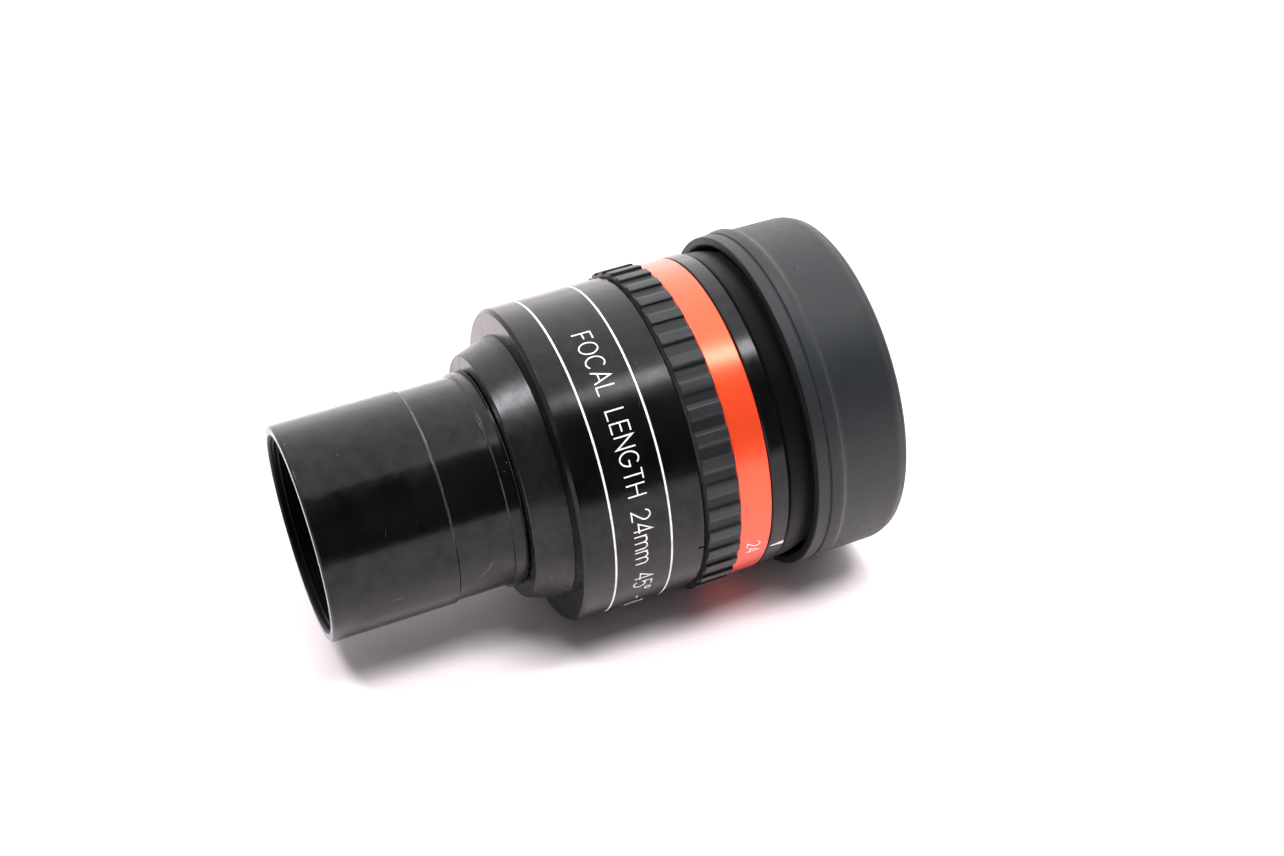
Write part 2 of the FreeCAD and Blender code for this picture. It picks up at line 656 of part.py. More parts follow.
def eye_retainer():
    rear_vertex_x = eye_singlet_vertex_x() + EYE_SINGLET_THICKNESS
    front_x = surface_x(rear_vertex_x, EYE_SINGLET_SURFACES[1], EYE_LENS_R - RETAINER_WALL)
    return retaining_ring(front_x, EYE_CELL_REAR_X - EYE_CELL_EDGE, EYE_LENS_R, True)


def build():
    os.makedirs(PART_FOLDER, exist_ok=True)
    field = doublet(FIELD_LENS_VERTEX_X, FIELD_THICKNESSES, FIELD_SURFACES, FIELD_LENS_R)
    middle = doublet(MIDDLE_LENS_VERTEX_X, MIDDLE_THICKNESSES, MIDDLE_SURFACES, MIDDLE_LENS_R)
    eye = doublet(EYE_LIP_X, EYE_DOUBLET_THICKNESSES, EYE_DOUBLET_SURFACES, EYE_LENS_R)
    singlet = lens(eye_singlet_vertex_x(), EYE_SINGLET_THICKNESS, *EYE_SINGLET_SURFACES, EYE_LENS_R)
    front_glide = tube(BODY_REAR_X, HUB_FRONT_X - GLIDE_GAP, GLIDE_FRONT_INNER_R, GLIDE_FRONT_OUTER_R)
    rear_glide = tube(CAM_REAR_X + GLIDE_GAP, INDEX_FRONT_X, GLIDE_REAR_INNER_R, GLIDE_REAR_OUTER_R)
    parts = {
        "nosepiece_sleeve": nosepiece_sleeve(),
        "nosepiece_adapter": nosepiece_adapter(),
        "neck_cone": neck_cone(),
        "main_body": main_body(),
        "guide_tube": guide_tube(),
        "front_glide_washer": front_glide,
        "rear_glide_washer": rear_glide,
        "eye_head": eye_head(),
        "head_grub_screws": Part.makeCompound(head_grub_screws()),
        "eyecup_rubber": eyecup_rubber(),
        "eye_lens_cell": eye_lens_cell(),
        "eye_doublet_flint": eye[0],
        "eye_doublet_crown": eye[1],
        "eye_lens_spacer": eye_lens_spacer(),
        "eye_singlet": singlet,
        "eye_lens_retainer": eye_retainer(),
        "zoom_hub": zoom_hub(),
        "grip_rubber": grip_rubber(),
        "scale_ring": scale_ring(),
        "cam_tube": cam_tube(),
        "hub_screws": Part.makeCompound(hub_screws(True)),
        "stop_pin": stop_pin(),
        "middle_cell": middle_cell(),
        "field_stop": field_stop(),
        "middle_doublet_crown": middle[0],
        "middle_doublet_flint": middle[1],
        "middle_retainer": middle_retainer(),
        "middle_follower_pins": Part.makeCompound(follower_pins(MIDDLE_PIN_X, MIDDLE_PIN_ANGLE)),
        "field_cell": field_cell(),
        "field_doublet_flint": field[0],
        "field_doublet_crown": field[1],
        "field_retainer": field_retainer(),
        "field_follower_pins": Part.makeCompound(follower_pins(FIELD_PIN_X, FIELD_PIN_ANGLE)),
    }
    for name, shape in parts.items():
        print(f"{name:24s} valid {shape.isValid()}  solids {len(shape.Solids)}  {shape.Volume:9.1f} mm3")
        save(name, shape)


build()
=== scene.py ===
import json
import math

import bmesh
import bpy
from mathutils import Matrix, Vector


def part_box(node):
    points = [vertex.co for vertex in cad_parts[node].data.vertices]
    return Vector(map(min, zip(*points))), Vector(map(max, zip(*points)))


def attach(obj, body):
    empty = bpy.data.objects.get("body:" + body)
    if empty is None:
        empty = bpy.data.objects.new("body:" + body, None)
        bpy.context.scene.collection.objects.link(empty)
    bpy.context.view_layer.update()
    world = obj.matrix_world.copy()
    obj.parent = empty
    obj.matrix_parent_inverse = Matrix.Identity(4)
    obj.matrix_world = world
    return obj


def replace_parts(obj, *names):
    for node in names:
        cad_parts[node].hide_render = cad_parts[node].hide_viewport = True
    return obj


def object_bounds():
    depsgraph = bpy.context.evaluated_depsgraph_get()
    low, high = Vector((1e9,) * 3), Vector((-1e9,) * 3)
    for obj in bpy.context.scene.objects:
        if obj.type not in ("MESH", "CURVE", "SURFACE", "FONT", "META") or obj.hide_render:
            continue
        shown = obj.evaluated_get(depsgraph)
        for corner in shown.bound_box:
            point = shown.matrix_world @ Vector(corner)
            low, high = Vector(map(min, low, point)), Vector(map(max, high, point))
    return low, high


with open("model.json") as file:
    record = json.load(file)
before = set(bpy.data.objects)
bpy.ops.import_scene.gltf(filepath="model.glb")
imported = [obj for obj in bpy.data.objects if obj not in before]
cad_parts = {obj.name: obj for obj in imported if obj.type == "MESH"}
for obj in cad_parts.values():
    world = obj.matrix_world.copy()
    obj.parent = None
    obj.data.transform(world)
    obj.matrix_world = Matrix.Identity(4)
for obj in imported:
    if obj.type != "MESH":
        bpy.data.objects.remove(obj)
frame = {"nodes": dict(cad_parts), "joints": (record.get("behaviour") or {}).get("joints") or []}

# A zoom eyepiece lying on its side. The optical axis is +X, from the nosepiece to the eye end.
# Lengths in this script are metres; MM turns millimetres into them.
# Outlines and sections are in (x, r): station along the axis and radius from it.
# Angles round the axis are degrees from +Y towards +Z.

MM = 0.001
CAD_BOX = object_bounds()

# How CAD outlines are read: the angle of the cut, a little off the mesh's own corners; corners
# within WELD are one; points within FLATNESS of a line are on it, radii below AXIS_ZONE are the
# axis, and points within TOP_ZONE of the largest radius are at the top
SECTION_ANGLE = 90.02
WELD = 1e-6
FLATNESS = 1e-6
AXIS_ZONE = 3e-5
TOP_ZONE = 10 * WELD

# How pieces are redrawn: columns in a full turn, the sharpest corner that still counts as smooth,
# the rounding of edges, the step of an arc, and the share of a side that one rounding may take
SEGMENTS = 360
SMOOTH_TURN = math.radians(25)
METAL_EDGE = 0.06 * MM
RUBBER_EDGE = 0.14 * MM
SEAM_EDGE = 0.14 * MM
ARC_STEP = math.radians(12)
TRIM_SHARE = 0.45

# Lens elements have this share of their CAD thickness, so that cemented faces don't coincide
LENS_SLIM = 0.998

# The body's small reference notch
NOTCH_ANGLE = 192.0
NOTCH_HALF_ANGLE = 0.42
NOTCH_LENGTH = 1.0 * MM
NOTCH_DEPTH = 0.7 * MM

# Paint in the body's line grooves: the depths between which their floors lie, how far the paint
# stands below the body's surface, and its soft edge
GROOVE_DEPTHS = (0.1 * MM, 0.14 * MM)
PAINT_RECESS = 0.025 * MM
PAINT_EDGE = 0.03 * MM

# The index wedge, in millimetres: its distance from the flange's front edge, half its width there,
# and how much that grows towards the rear
INDEX_SETBACK = 0.12
INDEX_NARROW = 0.09
INDEX_GROWTH = 0.36
INDEX_STEPS = 8

# The grip: pads, the softness of their sides and of the ring's edges, and how finely all is drawn
GRIP_PADS = 40
FIRST_PAD_ANGLE = 94.5
PAD_SOFTNESS = 0.06 * MM
PAD_SIDE_STEPS = 3
PAD_TOP_STEPS = 4
GRIP_EDGE = 0.1 * MM
GRIP_EDGE_STEPS = 4
GRIP_ROWS = (0.08, 0.3, 0.5, 0.7, 0.92)

# The bore lies BORE_MARGIN inside the sleeve's surface, the adapter's corners get bare lines of
# painted highlight when they are less than CORNER_MARGIN inside it, and the eyecup's skirt is
# SKIRT_MARGIN outside the head
BORE_MARGIN = 0.9 * MM
CORNER_MARGIN = 1.0 * MM
SKIRT_MARGIN = 1.0 * MM

# The filter thread's ridge
THREAD_R = 14.25 * MM
THREAD_HEIGHT = 0.3 * MM
THREAD_SINK = 0.05 * MM
THREAD_PITCH = 0.6 * MM
THREAD_START = 0.75 * MM
THREAD_TURNS = 7.5
THREAD_FOOT = 0.27 * MM
THREAD_CREST = 0.05 * MM
THREAD_STEPS = 144
THREAD_FADE_STEPS = 30

# Lettering. Ink strokes stand on the surface in three heights in turn, so that none coincide where
# they cross. Gaps are in letter heights.
CAP_HEIGHT = 2.7 * MM
NUMERAL_HEIGHT = 2.0 * MM
STROKE_WIDTH = 0.2 * MM
NUMERAL_STROKE = 0.17 * MM
INK_THICKNESS = 0.016 * MM
INK_ROOT = 0.03 * MM
INK_STEP = 0.0015 * MM
INK_HEIGHTS = 3
INK_LENGTH = 0.3 * MM
BOWL_STEP = 12
LETTER_GAP = 0.2
WORD_GAP = 0.65
BODY_TEXT = "FOCAL LENGTH 24mm 45° - 8mm 60°"
BODY_TEXT_START = 102.0
SCALE_MARKS = (24, 20, 16, 12, 8)
INDEX_ANGLE = 204.0
FIRST_NUMERAL_ANGLE = 201.0

# Camera and stage; CAMERA_AIM is counted from the middle of the CAD box
CAMERA_AZIMUTH = -20.7
CAMERA_ELEVATION = 35.75
CAMERA_DISTANCE = 275.6 * MM
CAMERA_AIM = Vector((10.085, -1.97, 2.1)) * MM
CAMERA_LEAN = math.radians(3.745)
CAMERA_LENS = 52.6
CAMERA_SENSOR = 36.0
CAMERA_CLIP = (0.01, 10)
FLOOR_SIZE = 4.0

# Light tent: elevation of its front edge, how soft that edge is, its brightness at the front and
# the back, and its share of that to the left and the right; then where along Y and X these change
# over, the little light from all round, and the colour of it all
TENT_EDGE = math.radians(69.8)
TENT_SOFTNESS = 0.012
TENT_FRONT = 1.45
TENT_BACK = 1.9
TENT_LEFT = 0.55
TENT_RIGHT = 1.5
TENT_DEPTH = (-0.4, 0.8)
TENT_SIDES = (-0.8, 0.8)
ALL_ROUND = 0.01
SKY_COLOUR = (1.0, 0.99, 1.0)

# Lamps in the tent: direction, angle of the even part, angle where it ends, brightness
LAMPS = (
    ((0.37, -0.27, 0.89), 2.5, 7, 23.0),
    ((-0.28, 0.15, 0.94), 4, 11, 32.0),
)

# A large soft light on the camera's side, for matt surfaces only
FILL_PLACE = Vector((-0.15, -0.75, 0.55))
FILL_SIZE = 0.8
FILL_POWER = 1.0

# A soft light overhead, for matt surfaces only, and the tent's share for them
TOP_PLACE = Vector((0.12, -0.28, 0.78))
TOP_SIZE = 0.3
TOP_POWER = 6.6
TENT_MATT_SHARE = 0.48

# Linear colours; pairs are the two tones that a noise mixes
BLACK_DYE = (0.0018, 0.0019, 0.0022)
SATIN_DYE = (0.0046, 0.0046, 0.005)
SCUFFED_BLACK = (0.16, 0.16, 0.165)
COOL_TINT = (0.86, 0.87, 0.9)
FILM_TINT = (0.58, 0.59, 0.61)
BORE_BLACK = (0.0012, 0.0012, 0.0013)
SHADED_TINT = (0.1, 0.1, 0.1)
BARE_RIM_AND_HIGHLIGHT_METAL = ((0.3, 0.29, 0.31), (0.42, 0.41, 0.44))
CORNER_HIGHLIGHT_METAL = (0.42, 0.42, 0.44)
MATT_BLACK = ((0.004, 0.004, 0.0042), (0.009, 0.009, 0.0095))
ORANGE_DYE = ((0.95, 0.078, 0.022), (0.97, 0.084, 0.025))
SCUFFED_ORANGE = (1.0, 0.5, 0.4)
GRIP_TONES = ((0.011, 0.0123, 0.0137), (0.018, 0.0196, 0.0214))
CUP_TONES = ((0.009, 0.0108, 0.0123), (0.013, 0.0156, 0.0175))
LINT = (0.28, 0.28, 0.28)
PAINT_TONES = ((0.55, 0.55, 0.55), (0.86, 0.86, 0.85))
CLEAR_GLASS = (0.985, 0.996, 0.99)
GLASS_DUST = (0.7, 0.7, 0.7)
COATING_TINT = (0.09, 0.2, 0.14)
STEEL_TONES = ((0.42, 0.42, 0.43), (0.6, 0.6, 0.61))
BRASS_TONES = ((0.6, 0.44, 0.18), (0.8, 0.62, 0.3))
NYLON_TONES = ((0.62, 0.61, 0.57), (0.78, 0.77, 0.73))
PAPER_TONES = ((0.92, 0.84, 0.875), (0.95, 0.87, 0.905))

# Surfaces: the range that a noise mostly fills, refraction, the strength of black anodising's
# reflection, and the heights between which worn bare edges fade in, kept to the upper side as a
# painted highlight
NOISE_LOW = 0.3
NOISE_HIGH = 0.7
SURFACE_IOR = 1.5
GLASS_IOR = 1.58
BLACK_SPECULAR = 0.34
EDGE_HIGHLIGHT_HEIGHTS = (1.0 * MM, 8.0 * MM)

# Scratches: bends and patches for each cell, the lines' drift in cells, and a patch's soft edge
SCRATCH_BENDS = 0.6
SCRATCH_DRIFT = 0.9
SCRATCH_PATCHES = 1.7
SCRATCH_FADE = 0.06


# ---- turned shapes

def outward(angle):
    """The unit vector that points away from the axis at an angle."""
    turn = math.radians(angle)
    return Vector((0, math.cos(turn), math.sin(turn)))


def point_at(x, r, angle):
    """The point at a station, a radius and an angle."""
    return Vector((x, 0, 0)) + outward(angle) * r


def section(node):
    """A CAD node's outline at the cut's angle: its (x, r) corners in order, counter-clockwise."""
    bm = bmesh.new()
    bm.from_mesh(frame["nodes"][node].data)
    bmesh.ops.remove_doubles(bm, verts=bm.verts, dist=WELD)
    side = outward(SECTION_ANGLE)
    across = outward(SECTION_ANGLE + 90)
    everything = bm.verts[:] + bm.edges[:] + bm.faces[:]
    cut = bmesh.ops.bisect_plane(bm, geom=everything, plane_co=(0, 0, 0), plane_no=across)
    links = {}
    for item in cut["geom_cut"]:
        if isinstance(item, bmesh.types.BMEdge):
            a, b = item.verts
            low, high = sorted((a.co.dot(side), b.co.dot(side)))
            if low > -WELD and high > AXIS_ZONE:
                links.setdefault(a, []).append(b)
                links.setdefault(b, []).append(a)
    start = min(links, key=lambda v: (len(links[v]), v.co.x))
    path = [start]
    here, before = links[start][0], start
    while here is not start:
        path.append(here)
        onward = [v for v in links[here] if v is not before]
        if not onward:
            break
        here, before = onward[0], here
    radii = [v.co.dot(side) for v in path]
    points = [(v.co.x, r if r > AXIS_ZONE else 0.0) for v, r in zip(path, radii)]
    bm.free()
    if here is not start:
        # An open outline ends on the axis, even where a flat face has no corner there
        if points[-1][1] > 0:
            points.append((points[-1][0], 0.0))
        if points[0][1] > 0:
            points.insert(0, (points[0][0], 0.0))
    area = sum(a[0] * b[1] - b[0] * a[1] for a, b in zip(points, points[1:] + points[:1]))
    if area < 0:
        points.reverse()
    return without_straights(points)


def outer_corners(node, least_r):
    """The stations of a node's convex outer corners beyond a radius."""
    outline = section(node)
    stations = []
    for index, here in enumerate(outline):
        before, after = outline[index - 1], outline[(index + 1) % len(outline)]
        u, v = step_between(before, here), step_between(here, after)
        turn = math.atan2(u[0] * v[1] - u[1] * v[0], u[0] * v[0] + u[1] * v[1])
        if here[1] > least_r and turn > SMOOTH_TURN:
            stations.append(here[0])
    return stations


def without_straights(points):
    """An outline without the points that lie in line with their neighbours."""
    kept = []
    for index, here in enumerate(points):
        before = kept[-1] if kept else points[-1]
        after = points[(index + 1) % len(points)]
        u, v = step_between(before, here), step_between(before, after)
        off_line = abs(u[0] * v[1] - u[1] * v[0]) / max(math.hypot(*v), WELD)
        if here[1] == 0.0 or off_line > FLATNESS:
            kept.append(here)
    return kept


def step_between(a, b):
    """From one (x, r) point to another."""
    return b[0] - a[0], b[1] - a[1]


def rounded(points, radius, closed=True):
    """Rounds an outline's corners. Each result is (x, r, nx, nr), with the outward normal."""
    made = []
    count = len(points)
    for index, here in enumerate(points):
        if not closed and index in (0, count - 1):
            other = points[1] if index == 0 else points[-2]
            along = step_between(here, other) if index == 0 else step_between(other, here)
            length = math.hypot(*along)
            made.append((*here, along[1] / length, -along[0] / length))
            continue
        before = points[index - 1]
        after = points[(index + 1) % count]
        u, v = step_between(before, here), step_between(here, after)
        lu, lv = math.hypot(*u), math.hypot(*v)
        au, av = math.atan2(u[1], u[0]), math.atan2(v[1], v[0])
        turn = (av - au + math.pi) % (2 * math.pi) - math.pi
        reach = TRIM_SHARE * min(lu, lv)
        trim = reach if abs(turn) < SMOOTH_TURN else min(radius * math.tan(abs(turn) / 2), reach)
        bend = math.copysign(trim / math.tan(abs(turn) / 2), turn)
        start = (here[0] - u[0] / lu * trim, here[1] - u[1] / lu * trim)
        centre = (start[0] - bend * math.sin(au), start[1] + bend * math.cos(au))
        steps = 1 + math.ceil(abs(turn) / ARC_STEP)
        for step in range(steps + 1):
            direction = au + turn * step / steps
            nx, nr = math.sin(direction), -math.cos(direction)
            made.append((centre[0] + bend * nx, centre[1] + bend * nr, nx, nr))
    return made


def add_turned(vertices, normals, faces, outline, start, sweep, closed):
    """Adds a sheet of revolution to lists of vertices, normals and faces."""
    full = abs(sweep) >= 360
    columns = max(2, round(SEGMENTS * abs(sweep) / 360))
    rows = len(outline)
    base = len(vertices)
    around = columns if full else columns + 1
    for column in range(around):
        out = outward(start + sweep * column / columns)
        for x, r, nx, nr in outline:
            vertices.append(Vector((x, 0, 0)) + out * r)
            normals.append(Vector((nx, 0, 0)) + out * nr)
    for column in range(columns):
        here = base + column * rows
        there = base + (column + 1) % around * rows
        for row in range(rows if closed else rows - 1):
            after = (row + 1) % rows
            faces.append((here + row, here + after, there + after, there + row))


def add_end(vertices, normals, faces, outline, angle, facing):
    """Adds a flat end to a part turn."""
    out = outward(angle)
    normal = outward(angle + 90) * facing
    base = len(vertices)
    for x, r, _, _ in outline:
        vertices.append(Vector((x, 0, 0)) + out * r)
        normals.append(normal)
    ring = list(range(base, base + len(outline)))
    faces.append(tuple(ring if facing < 0 else reversed(ring)))


def add_object(name, data):
    """A new object in the scene."""
    made = bpy.data.objects.new(name, data)
    bpy.context.scene.collection.objects.link(made)
    return made


def riding(mesh, material, body):
    """A piece of the part from a mesh, with the mesh's name, riding on a body."""
    mesh.materials.append(material)
    piece = add_object(mesh.name, mesh)
    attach(piece, body)
    return piece


def solid(name, vertices, normals, faces, material, body, slot):
    """A smooth piece from lists of vertices, normals (which may be left out) and faces."""
    mesh = bpy.data.meshes.new(name)
    mesh.from_pydata([tuple(v) for v in vertices], [], faces)
    mesh.shade_smooth()
    if normals:
        mesh.normals_split_custom_set_from_vertices([tuple(n.normalized()) for n in normals])
    return riding(mesh, material, body)


def turned_piece(name, outline, material, body, slot, closed=True):
    """A full turn of an outline."""
    vertices, normals, faces = [], [], []
    add_turned(vertices, normals, faces, outline, 0, 360, closed)
    return solid(name, vertices, normals, faces, material, body, slot)


def smooth_copy(name, node, material, body):
    """Stands for a node that isn't a full turn: a copy of its mesh, smooth except at edges."""
    bm = bmesh.new()
    bm.from_mesh(frame["nodes"][node].data)
    bmesh.ops.remove_doubles(bm, verts=bm.verts, dist=WELD)
    mesh = bpy.data.meshes.new(name)
    bm.to_mesh(mesh)
    bm.free()
    mesh.shade_smooth()
    mesh.set_sharp_from_angle(angle=SMOOTH_TURN)
    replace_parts(riding(mesh, material, body), node)


# ---- lettering

def bowl(cx, cy, rx, ry, start, end):
    """Points along part of an ellipse, in letter heights."""
    steps = max(4, math.ceil(abs(end - start) / BOWL_STEP))
    points = []
    for step in range(steps + 1):
        turn = math.radians(start + (end - start) * step / steps)
        points.append((cx + rx * math.cos(turn), cy + ry * math.sin(turn)))
    return points


# Each letter: its width and its strokes, in letter heights
LETTERS = {
    "A": (0.66, [[(0, 0), (0.33, 1), (0.66, 0)], [(0.12, 0.34), (0.54, 0.34)]]),
    "C": (0.70, [bowl(0.37, 0.5, 0.37, 0.5, 48, 312)]),
    "E": (0.52, [[(0.52, 0), (0, 0), (0, 1), (0.52, 1)], [(0, 0.53), (0.47, 0.53)]]),
    "F": (0.50, [[(0, 0), (0, 1), (0.5, 1)], [(0, 0.53), (0.43, 0.53)]]),
    "G": (0.74, [bowl(0.37, 0.5, 0.37, 0.5, 48, 350) + [(0.74, 0.47), (0.42, 0.47)]]),
    "H": (0.60, [[(0, 0), (0, 1)], [(0.6, 0), (0.6, 1)], [(0, 0.53), (0.6, 0.53)]]),
    "L": (0.48, [[(0, 1), (0, 0), (0.48, 0)]]),
    "N": (0.60, [[(0, 0), (0, 1), (0.6, 0), (0.6, 1)]]),
    "O": (0.74, [bowl(0.37, 0.5, 0.37, 0.5, 0, 360)]),
    "T": (0.58, [[(0, 1), (0.58, 1)], [(0.29, 1), (0.29, 0)]]),
    "m": (0.84, [
        [(0, 0), (0, 0.7)],
        bowl(0.21, 0.47, 0.21, 0.21, 180, 0) + [(0.42, 0)],
        bowl(0.63, 0.47, 0.21, 0.21, 180, 0) + [(0.84, 0)],
    ]),
    "0": (0.54, [bowl(0.27, 0.5, 0.27, 0.5, 0, 360)]),
    "1": (0.26, [[(0, 0.78), (0.22, 1), (0.22, 0)]]),
    "2": (0.54, [bowl(0.27, 0.72, 0.27, 0.28, 170, -42) + [(0, 0), (0.54, 0)]]),
    "4": (0.56, [[(0.42, 0), (0.42, 1), (0, 0.3), (0.56, 0.3)]]),
    "5": (0.54, [
        [(0.49, 1), (0.1, 1), (0.04, 0.5)] + bowl(0.27, 0.32, 0.27, 0.32, 128, -152),
    ]),
    "6": (0.54, [bowl(0.27, 0.31, 0.27, 0.31, 0, 360), bowl(0.5, 0.31, 0.5, 0.69, 180, 96)]),
    "8": (0.54, [bowl(0.27, 0.75, 0.23, 0.25, 0, 360), bowl(0.27, 0.26, 0.27, 0.26, 0, 360)]),
    "°": (0.28, [bowl(0.14, 0.85, 0.14, 0.15, 0, 360)]),
    "-": (0.34, [[(0, 0.42), (0.34, 0.42)]]),
}


def text_width(text):
    """The length of a line of text, in letter heights."""
    width = 0.0
    for letter in text:
        width += WORD_GAP if letter == " " else LETTERS[letter][0] + LETTER_GAP
    return width - LETTER_GAP


def with_short_steps(points, longest):
    """The same line with its long steps divided."""
    made = [points[0]]
    for a, b in zip(points, points[1:]):
        steps = max(1, math.ceil(math.hypot(*step_between(a, b)) / longest))
        for step in range(1, steps + 1):
            along, up = step_between(a, b)
            made.append((a[0] + along * step / steps, a[1] + up * step / steps))
    return made


def stroke_sides(points, half_width):
    """The two sides of a stroke with mitred corners, and whether it is a ring."""
    ring = math.hypot(*step_between(points[0], points[-1])) < half_width / 10
    if ring:
        points = points[:-1]
    count = len(points)
    left, right = [], []
    for index, here in enumerate(points):
        before = points[index - 1] if ring or index else None
        after = points[(index + 1) % count] if ring or index < count - 1 else None
        normals = []
        for a, b in ((before, here), (here, after)):
            if a is not None and b is not None:
                along = step_between(a, b)
                length = math.hypot(*along)
                normals.append((-along[1] / length, along[0] / length))
        nx = sum(n[0] for n in normals)
        ny = sum(n[1] for n in normals)
        scale = half_width * len(normals) / (nx * nx + ny * ny)
        left.append((here[0] + nx * scale, here[1] + ny * scale))
        right.append((here[0] - nx * scale, here[1] - ny * scale))
    return left, right, ring


class Ink:
    """Raised ink on a cylinder, from (u, v) points: u runs round it and v along the axis."""

    def __init__(self, radius):
        self.radius = radius
        self.vertices = []
        self.faces = []
        self.strokes = 0

    def band(self, left, right, ring, angle):
        """A stroke with thickness between its two sides, its u counted from an angle."""
        top = self.radius + INK_THICKNESS + INK_STEP * (self.strokes % INK_HEIGHTS)
        bottom = self.radius - INK_ROOT
        self.strokes += 1
        base = len(self.vertices)
        count = len(left)
        for a, b in zip(left, right):
            for (u, v), r in ((a, top), (b, top), (b, bottom), (a, bottom)):
                self.vertices.append(point_at(v, r, angle + math.degrees(u / self.radius)))
        for index in range(count if ring else count - 1):
            here = base + 4 * index
            there = base + 4 * ((index + 1) % count)
            for side in range(4):
                after = (side + 1) % 4
                self.faces.append((here + side, here + after, there + after, there + side))
        if not ring:
            last = base + 4 * (count - 1)
            self.faces.append((base + 3, base + 2, base + 1, base))
            self.faces.append((last, last + 1, last + 2, last + 3))

    def write(self, text, angle, base_x, height, stroke_width):
        """One line of text that starts at an angle and stands on a station."""
        pen = 0.0
        for letter in text:
            if letter == " ":
                pen += WORD_GAP
                continue
            width, strokes = LETTERS[letter]
            for stroke in strokes:
                points = [((pen + u) * height, base_x + v * height) for u, v in stroke]
                points = with_short_steps(points, INK_LENGTH)
                self.band(*stroke_sides(points, stroke_width / 2), angle)
            pen += width + LETTER_GAP

    def piece(self, name, material, body):
        """All the ink so far, as one piece."""
        made = solid(name, self.vertices, None, self.faces, material, body, "white_paint")
        made.data.shade_flat()


# ---- materials

class Nodes:
    """The node tree of a material or a world, built with short calls."""

    def __init__(self, owner):
        owner.use_nodes = True
        self.tree = owner.node_tree

    def add(self, kind, inputs, **settings):
        """A new node with its settings, fed at its inputs, which go by name or number."""
        node = self.tree.nodes.new(kind)
        for key, value in settings.items():
            setattr(node, key, value)
        for key, value in inputs.items():
            self.feed(node.inputs[key], value)
        return node

    def feed(self, socket, value):
        """A value or another node's output goes into a socket."""
        if isinstance(value, bpy.types.NodeSocket):
            self.tree.links.new(value, socket)
        elif isinstance(value, tuple) and len(value) == 3 and socket.type == "RGBA":
            socket.default_value = (*value, 1)
        else:
            socket.default_value = value

    def calc(self, operation, a, b=0.0):
        return self.add("ShaderNodeMath", {0: a, 1: b}, operation=operation).outputs[0]

    def span(self, value, low, high, to_low=0.0, to_high=1.0, **settings):
        """Maps a range to another, with its ends held."""
        inputs = {0: value, 1: low, 2: high, 3: to_low, 4: to_high}
        return self.add("ShaderNodeMapRange", inputs, **settings).outputs[0]


class Surface(Nodes):
    """A material on the principled shader."""

    def __init__(self, name):
        self.material = bpy.data.materials.new(name)
        super().__init__(self.material)
        self.shader = self.tree.nodes["Principled BSDF"]
        self.place = self.add("ShaderNodeTexCoord", {}).outputs["Object"]

    def own_socket(self, key):
        """One of the shader's own sockets: base_color means Base Color, and so on."""
        words = ("IOR" if word == "ior" else word.capitalize() for word in key.split("_"))
        return self.shader.inputs[" ".join(words)]

    def set(self, **values):
        """Sets the shader's own sockets."""
        for key, value in values.items():
            self.feed(self.own_socket(key), value)

    def so_far(self, key):
        """What feeds one of the shader's own sockets already."""
        return self.own_socket(key).links[0].from_socket

    def stretched(self, x, yz):
        """Object coordinates with one scale along the axis and one across it, per metre."""
        inputs = {"Vector": self.place, "Scale": (x, yz, yz)}
        return self.add("ShaderNodeMapping", inputs).outputs[0]

    def noise(self, coordinates, scale=1.0, detail=2.0, roughness=0.5):
        inputs = {"Vector": coordinates, "Scale": scale, "Detail": detail, "Roughness": roughness}
        return self.add("ShaderNodeTexNoise", inputs).outputs["Fac"]

    def spread(self, noise, to_low=0.0, to_high=1.0):
        """Maps the range that a noise mostly fills to another."""
        return self.span(noise, NOISE_LOW, NOISE_HIGH, to_low, to_high)

    def mix(self, share, a, b):
        """Mixes two colours: inputs 6 and 7 and output 2 are the node's colour sockets."""
        return self.add("ShaderNodeMix", {0: share, 6: a, 7: b}, data_type="RGBA").outputs[2]

    def specks(self, cells, size, share):
        """Small round specks: cells per metre, radius in cells, share of cells with one."""
        cell = self.add("ShaderNodeTexVoronoi", {"Vector": self.place, "Scale": cells})
        near = self.calc("LESS_THAN", cell.outputs["Distance"], size)
        pick = self.add("ShaderNodeSeparateColor", {0: cell.outputs["Color"]})
        chosen = self.calc("LESS_THAN", pick.outputs[0], share)
        return self.calc("MULTIPLY", near, chosen)

    def scratches(self, cells, width, share):
        """Thin curved lines in patches: cells per metre, width in cells, share of patches."""
        inputs = {"Vector": self.place, "Scale": cells * SCRATCH_BENDS}
        wobble = self.add("ShaderNodeTexNoise", inputs).outputs["Color"]
        inputs = {0: wobble, "Scale": SCRATCH_DRIFT / cells}
        shift = self.add("ShaderNodeVectorMath", inputs, operation="SCALE").outputs[0]
        bent = self.add("ShaderNodeVectorMath", {0: self.place, 1: shift}, operation="ADD")
        inputs = {"Vector": bent.outputs[0], "Scale": cells}
        edges = self.add("ShaderNodeTexVoronoi", inputs, feature="DISTANCE_TO_EDGE")
        line = self.calc("LESS_THAN", edges.outputs["Distance"], width)
        patch = self.noise(self.place, cells * SCRATCH_PATCHES, detail=1.0)
        here = self.span(patch, 1 - share, 1 - share + SCRATCH_FADE)
        return self.calc("MULTIPLY", line, here)

    def bump(self, height, distance, strength=1.0, below=None):
        inputs = {"Height": height, "Distance": distance, "Strength": strength}
        if below is not None:
            inputs["Normal"] = below
        return self.add("ShaderNodeBump", inputs).outputs[0]

    def xyz(self):
        """The coordinates of the shaded point."""
        return tuple(self.add("ShaderNodeSeparateXYZ", {0: self.place}).outputs)

    def station_and_radius(self):
        """Where the shaded point is along the axis, and how far from it."""
        x, y, z = self.xyz()
        squares = self.calc("ADD", self.calc("POWER", y, 2.0), self.calc("POWER", z, 2.0))
        return x, self.calc("SQRT", squares)


